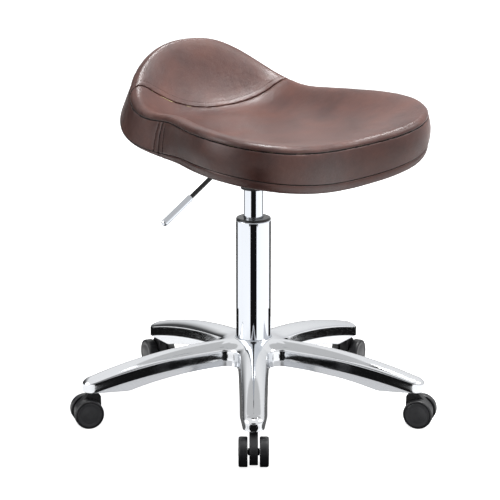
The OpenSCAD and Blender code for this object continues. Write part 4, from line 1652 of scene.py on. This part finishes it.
@dataclass
class ReleaseLever:
    """The height lever: a black enamelled rod bent down to a chromed grip."""

    rod_r: float = 3.25
    pivot_x: float = -28.0
    axis_z: float = 368.55
    bend_x: float = 57.0
    slope_deg: float = 31.7
    reach: float = 164.5
    grip_len: float = 59.0
    grip_r: float = 5.0
    start_x: float = 1.5
    bend_r: float = 16.0
    sides: int = 32

    def down(self) -> Vector:
        """Direction of the sloping arm."""
        t = math.radians(self.slope_deg)
        return Vector((-math.cos(t), 0.0, -math.sin(t)))

    def path(self) -> list[Vector]:
        """Gives the rod's centre line in millimetres."""
        corner = Vector((-self.bend_x, 0.0, self.axis_z))
        t = math.radians(self.slope_deg)
        cut = self.bend_r * math.tan(t / 2)
        centre = corner + Vector((cut, 0.0, -self.bend_r))
        line = [Vector((self.start_x, 0.0, self.axis_z)), Vector((-self.bend_x / 2, 0.0, self.axis_z))]
        line += [
            centre + Vector((-math.sin(t * i / 8), 0.0, math.cos(t * i / 8))) * self.bend_r for i in range(9)
        ]
        length = (self.reach - self.bend_x) / math.cos(t)
        line.append(corner + self.down() * (length - self.grip_len * 0.6))
        return line

    def build(self) -> None:
        """Makes the rod, the pivot sleeve and the grip."""
        line = self.path()
        bm = bmesh.new()
        rows = []
        for i, spot in enumerate(line):
            ahead = line[min(i + 1, len(line) - 1)] - line[max(i - 1, 0)]
            turn = ahead.to_track_quat("Z", "Y").to_matrix()
            rows.append([
                (spot + turn @ Vector((math.cos(t), math.sin(t), 0)) * self.rod_r) * MM
                for t in [2 * math.pi * k / self.sides for k in range(self.sides)]
            ])
        made = loft(bm, rows, True)
        close_ring(bm, made[0])
        close_ring(bm, made[-1])
        bmesh.ops.recalc_face_normals(bm, faces=bm.faces[:])
        low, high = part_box("release_lever")
        half = (high.y - low.y) / 2 / MM
        hub = turned([
            (2.6, -half), (5.0, -half), (5.25, 0.25 - half), (5.25, half - 0.25), (5.0, half), (2.6, half),
        ], 40)
        at = Matrix.Translation(Vector((self.pivot_x, 0, self.axis_z)) * MM)
        move(hub, at @ Matrix.Rotation(math.pi / 2, 4, "X"))
        join(bm, hub)
        piece("lever_rod", bm, ENAMEL, Body.LEVER, ["release_lever"], 40.0)
        self.grip()

    def grip(self) -> None:
        """Turns the plated grip over the rod's end."""
        r, length, bore = self.grip_r, self.grip_len, self.rod_r + 0.05
        steps = [math.radians(t) for t in range(0, 90, 9)]
        dome = [(r * math.cos(t), length - r + r * math.sin(t)) for t in steps]
        profile = [(bore, 0.0), (r - 0.9, 0.0), (r - 0.3, 0.25), (r, 0.9)] + dome
        profile += [(0.0, length), (0.0, length - 2.0), (bore, length - 2.0)]
        bm = turned(profile, 64)
        sloping = (self.reach - self.bend_x) / math.cos(math.radians(self.slope_deg))
        start = Vector((-self.bend_x, 0.0, self.axis_z)) + self.down() * (sloping - length)
        turn = self.down().to_track_quat("Z", "Y").to_matrix().to_4x4()
        move(bm, Matrix.Translation(start * MM) @ turn)
        piece("lever_grip_cap", bm, CHROME, Body.LEVER, ["lever_grip"], 40.0)


def paint(nodes: Iterable[str], finish: Any) -> None:
    """Gives CAD nodes that stay as they are their finish.

    Args:
        nodes: The nodes' names.
        finish: Their finish.
    """
    for node in nodes:
        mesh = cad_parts[node].data
        mesh.materials.clear()
        mesh.materials.append(RACK.get(finish))


class Mechanism:
    """The hidden fittings that carry the seat and work the lift."""

    plain: dict[str, Any] = {
        "thrust_bearing": TURNED, "piston_rod": CHROME, "retaining_clip": ZINC, "bumper": RUBBER,
        "piston": TURNED, "rod_guide": ACETAL, "valve_button": TURNED, "lever_pin": ZINC,
        "spring_washers": ZINC, "t_nuts": ZINC,
    }

    def edged(self, node: str, name: str, finish: Any, width: float) -> None:
        """Copies a CAD node with its edges eased.

        Args:
            node: The node.
            name: The new piece's name.
            finish: Its finish.
            width: Width of the eased edge in millimetres.
        """
        obj = piece(name, merged(node), finish, Body.SEAT, [node], 30.0)
        modify(
            obj, "BEVEL", width=width * MM, segments=2, limit_method="ANGLE",
            angle_limit=math.radians(40), profile=0.5, use_clamp_overlap=True,
        )

    def build(self) -> None:
        """Finishes the plate, the bolts and everything hidden."""
        self.edged("seat_plate", "pressed_plate", POWDER, 0.6)
        self.edged("seat_bolts", "hex_bolts", ZINC, 0.35)
        for node, finish in self.plain.items():
            paint([node], finish)


# Studio


@dataclass(frozen=True)
class Wall:
    """A part of the room that mirrors see darker or brighter than the rest.

    It is a cone round a direction. Its edge runs from the cosine start, where the room is as
    elsewhere, to the cosine end, where it is full.
    """

    azimuth: float
    elevation: float
    start: float
    end: float
    level: float

    def facing(self, tree: bpy.types.NodeTree, place: Any) -> Any:
        """Compares a direction with the cone's middle.

        Args:
            tree: The world's tree.
            place: The output socket with the direction.

        Returns:
            The output socket with the cosine of the angle between them.
        """
        up = math.radians(self.elevation)
        way = heading(self.azimuth) * math.cos(up) + UP * math.sin(up)
        node = add(
            tree, "ShaderNodeVectorMath", {0: place}, {1: tuple(way)}, operation="DOT_PRODUCT"
        )
        return node.outputs["Value"]


@dataclass(frozen=True)
class Sector:
    """A level card round the column that only mirrors see, as a sector or a disc, in metres."""

    name: str
    azimuth: float
    half: float
    near: float
    far: float
    z: float
    level: float
    steps: int = 24

    def points(self) -> list[tuple[float, float, float]]:
        """Gives its corners."""
        ring = [
            math.radians(self.azimuth - self.half + 2 * self.half * i / self.steps)
            for i in range(self.steps + 1)
        ]
        points = [(self.far * math.cos(t), self.far * math.sin(t), self.z) for t in ring]
        if self.near > 0:
            points += [(self.near * math.cos(t), self.near * math.sin(t), self.z) for t in reversed(ring)]
        elif self.half < 180:
            points.append((0.0, 0.0, self.z))
        else:
            points.pop()
        return points


@dataclass(frozen=True)
class Softbox:
    """A square lamp, with its place and size in metres and its power in watts."""

    name: str
    at: tuple[float, float, float]
    size: float
    power: float


UNLIT_WALL = Wall(105.0, 0.0, 0.72, 0.9, 0.08)
UNLIT_FRONT = Wall(-130.0, 25.0, 0.9, 0.95, 0.03)
BRIGHT_BACK = Wall(148.0, 23.0, 0.86, 0.95, 4.5)
SECTORS = (
    Sector("grey_disc", 0.0, 180.0, 0.0, 0.3, 0.0012, 0.14),
    Sector("dark_near", -130.0, 27.0, 0.16, 0.36, 0.0016, 0.008),
    Sector("dark_front", -130.0, 20.5, 0.36, 1.065, 0.0008, 0.008),
    Sector("dark_far", -130.0, 30.0, 1.065, 1.9, 0.0008, 0.008),
    Sector("dark_back", 50.0, 55.0, 0.36, 1.065, 0.0008, 0.02),
    Sector("grey_behind", 50.0, 58.0, 1.065, 1.3, 0.0008, 0.3),
    Sector("under_seat", 0.0, 180.0, 0.0, 0.2, 0.357, 0.62),
    Sector("dark_rear_left", 107.0, 9.0, 0.35, 0.52, 0.0016, 0.008),
    Sector("dark_rear_right", -7.0, 9.0, 0.35, 0.52, 0.0016, 0.008),
    Sector("dark_left", 112.0, 48.0, 1.38, 3.5, 0.0008, 0.02),
)
SOFTBOXES = (
    Softbox("key", (1.71, -1.43, 2.41), 1.2, 28.0),
    Softbox("zenith", (-0.1, -0.1, 2.5), 0.6, 8.0),
    Softbox("glint", (0.8, -0.14, 2.5), 0.35, 50.0),
)


@dataclass
class Studio:
    """A pale room with soft light, and dark and light cards that only mirrors see.

    The floor glows at its two levels inside and outside its two rings. Its colour is the first
    bounce for the light it throws up and the second for the camera. The room's two levels are for
    diffuse light, on the lit and on the unlit side.
    """

    floor_half: float = 6.0
    floor_levels: tuple[float, float] = (0.92, 0.95)
    floor_rings: tuple[float, float] = (0.4, 1.2)
    floor_bounce: tuple[float, float] = (0.3, 0.85)
    room_levels: tuple[float, float] = (0.42, 0.08)
    room_colour: tuple[float, ...] = (0.93, 0.95, 0.98, 1.0)
    seat: tuple[float, float, float] = (0.0, 0.0, 0.4)
    pieces: list[bpy.types.Object] = field(default_factory=list)

    def stage(self, name: str, bm: bmesh.types.BMesh, material: bpy.types.Material) -> bpy.types.Object:
        """Adds a stage object.

        Args:
            name: The object's name.
            bm: Its mesh.
            material: Its material.

        Returns:
            The object.
        """
        mesh = bpy.data.meshes.new(name)
        bm.to_mesh(mesh)
        bm.free()
        mesh.materials.append(material)
        obj = bpy.data.objects.new(name, mesh)
        bpy.context.scene.collection.objects.link(obj)
        self.pieces.append(obj)
        return obj

    def glow(self, name: str, level: float, below: bool) -> bpy.types.Material:
        """Makes a plain emitting material.

        Args:
            name: The material's name.
            level: Its grey level.
            below: True if it shines only downwards and is clear from above.

        Returns:
            The material.
        """
        material, tree, shader, _ = start_material(name)
        lamp = add(tree, "ShaderNodeEmission", sockets={"Color": (level, level, level, 1.0), "Strength": 1.0})
        surface = lamp.outputs["Emission"]
        if below:
            side = add(tree, "ShaderNodeNewGeometry")
            clear = add(tree, "ShaderNodeBsdfTransparent")
            surface = mixed(tree, side.outputs["Backfacing"], clear.outputs["BSDF"], surface)
        tree.links.new(surface, tree.nodes["Material Output"].inputs["Surface"])
        tree.nodes.remove(shader)
        return material

    def card(self, sector: Sector) -> None:
        """Adds a card that only reflections see. Well above the floor it shines only downwards.

        Args:
            sector: The card's place, size and level.
        """
        bm = bmesh.new()
        bm.faces.new([bm.verts.new(p) for p in sector.points()])
        obj = self.stage(sector.name, bm, self.glow(sector.name, sector.level, sector.z > 0.1))
        obj.visible_camera = False
        obj.visible_diffuse = False
        obj.visible_shadow = False
        obj.visible_transmission = False
        obj.visible_volume_scatter = False

    def floor(self) -> None:
        """Lays a white floor that keeps a faint shadow and throws less light up at the stool."""
        material, tree, shader, place = start_material("white_floor")
        shader.inputs["Roughness"].default_value = 1.0
        shader.inputs["Specular IOR Level"].default_value = 0.0
        ray = add(tree, "ShaderNodeLightPath").outputs
        far = add(tree, "ShaderNodeVectorMath", {0: place}, operation="LENGTH").outputs["Value"]
        level = spread(tree, far, *self.floor_levels, *self.floor_rings)
        mirrored = reckon(tree, "ADD", ray["Is Camera Ray"], ray["Is Glossy Ray"])
        seen = reckon(tree, "ADD", mirrored, ray["Is Transmission Ray"])
        lift = reckon(tree, "MULTIPLY", seen, level)
        bounce = spread(tree, ray["Is Camera Ray"], *self.floor_bounce)
        tree.links.new(bounce, shader.inputs["Base Color"])
        lamp = add(tree, "ShaderNodeEmission", {"Strength": lift}, {"Color": WHITE})
        both = add(tree, "ShaderNodeAddShader", {0: shader.outputs["BSDF"], 1: lamp.outputs["Emission"]})
        tree.links.new(both.outputs["Shader"], tree.nodes["Material Output"].inputs["Surface"])
        bm = bmesh.new()
        bmesh.ops.create_grid(bm, x_segments=1, y_segments=1, size=self.floor_half)
        self.stage("floor", bm, material)

    def world(self) -> None:
        """Sets the room: white for the camera, soft grey towards the horizon for mirrors."""
        world = bpy.data.worlds.new("room")
        bpy.context.scene.world = world
        world.use_nodes = True
        tree = world.node_tree
        tree.nodes.clear()
        ray = add(tree, "ShaderNodeLightPath").outputs
        place = add(tree, "ShaderNodeTexCoord").outputs["Generated"]
        height = add(tree, "ShaderNodeSeparateXYZ", {"Vector": place}).outputs["Z"]
        shade = ramp(tree, height, [
            (0.0, (0.68, 0.68, 0.69, 1)), (0.1, (0.78, 0.78, 0.79, 1)),
            (0.3, (0.88, 0.89, 0.9, 1)), (0.5, WHITE),
        ])
        parts = [
            spread(tree, wall.facing(tree, place), 1.0, wall.level, wall.start, wall.end)
            for wall in (UNLIT_WALL, UNLIT_FRONT, BRIGHT_BACK)
        ]
        level = reckon(tree, "MULTIPLY", reckon(tree, "MULTIPLY", parts[0], parts[1]), parts[2])
        dim = spread(tree, UNLIT_WALL.facing(tree, place), *self.room_levels, 0.0, 0.8)
        kind = "ShaderNodeBackground"
        plain = add(tree, kind, {"Strength": dim}, {"Color": self.room_colour})
        mirror = add(tree, kind, {"Color": shade.outputs["Color"], "Strength": level})
        white = add(tree, kind, sockets={"Color": WHITE, "Strength": 1.0})
        first = mixed(tree, ray["Is Glossy Ray"], plain.outputs[0], mirror.outputs[0])
        seen = mixed(tree, ray["Is Camera Ray"], first, white.outputs[0])
        add(tree, "ShaderNodeOutputWorld", {"Surface": seen})

    def aimed(self, name: str, data: Any, at: Vector, aim: Vector) -> bpy.types.Object:
        """Places a lamp or a camera.

        Args:
            name: The object's name.
            data: The lamp or the camera.
            at: Its place.
            aim: What it looks at.

        Returns:
            The object.
        """
        obj = bpy.data.objects.new(name, data)
        obj.location = at
        obj.rotation_euler = (aim - at).to_track_quat("-Z", "Y").to_euler()
        bpy.context.scene.collection.objects.link(obj)
        return obj

    def lamp(self, box: Softbox) -> None:
        """Hangs a square softbox that looks at the seat.

        Args:
            box: The lamp's place, size and power.
        """
        light = bpy.data.lights.new(box.name, "AREA")
        light.shape = "SQUARE"
        light.size = box.size
        light.energy = box.power
        self.aimed(box.name, light, Vector(box.at), Vector(self.seat))

    def camera(self) -> None:
        """Sets the camera at the photograph's angle."""
        data = bpy.data.cameras.new("camera")
        data.lens = 195.8
        data.sensor_width = 36.0
        data.clip_end = 50.0
        at, aim = Vector((-2.4079, -2.8618, 1.2706)), Vector((-0.0038, 0.0032, 0.237))
        bpy.context.scene.camera = self.aimed("camera", data, at, aim)

    def build(self) -> None:
        """Sets up the stage, the light and the camera."""
        self.floor()
        self.world()
        for sector in SECTORS:
            self.card(sector)
        for box in SOFTBOXES:
            self.lamp(box)
        self.camera()
        bpy.context.scene.view_settings.view_transform = "Standard"


def main() -> None:
    """Builds the stool and its studio."""
    logging.basicConfig(level=logging.INFO, format="%(message)s")
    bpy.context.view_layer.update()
    StarBase().build()
    Column().build()
    for number, steer in enumerate((0, 3, 12, -12, -3), 1):
        Caster(number, steer).build()
    Mechanism().build()
    ReleaseLever().build()
    SaddleSeat(SaddleForm()).build()
    Studio().build()


if __name__ == "__main__":
    main()
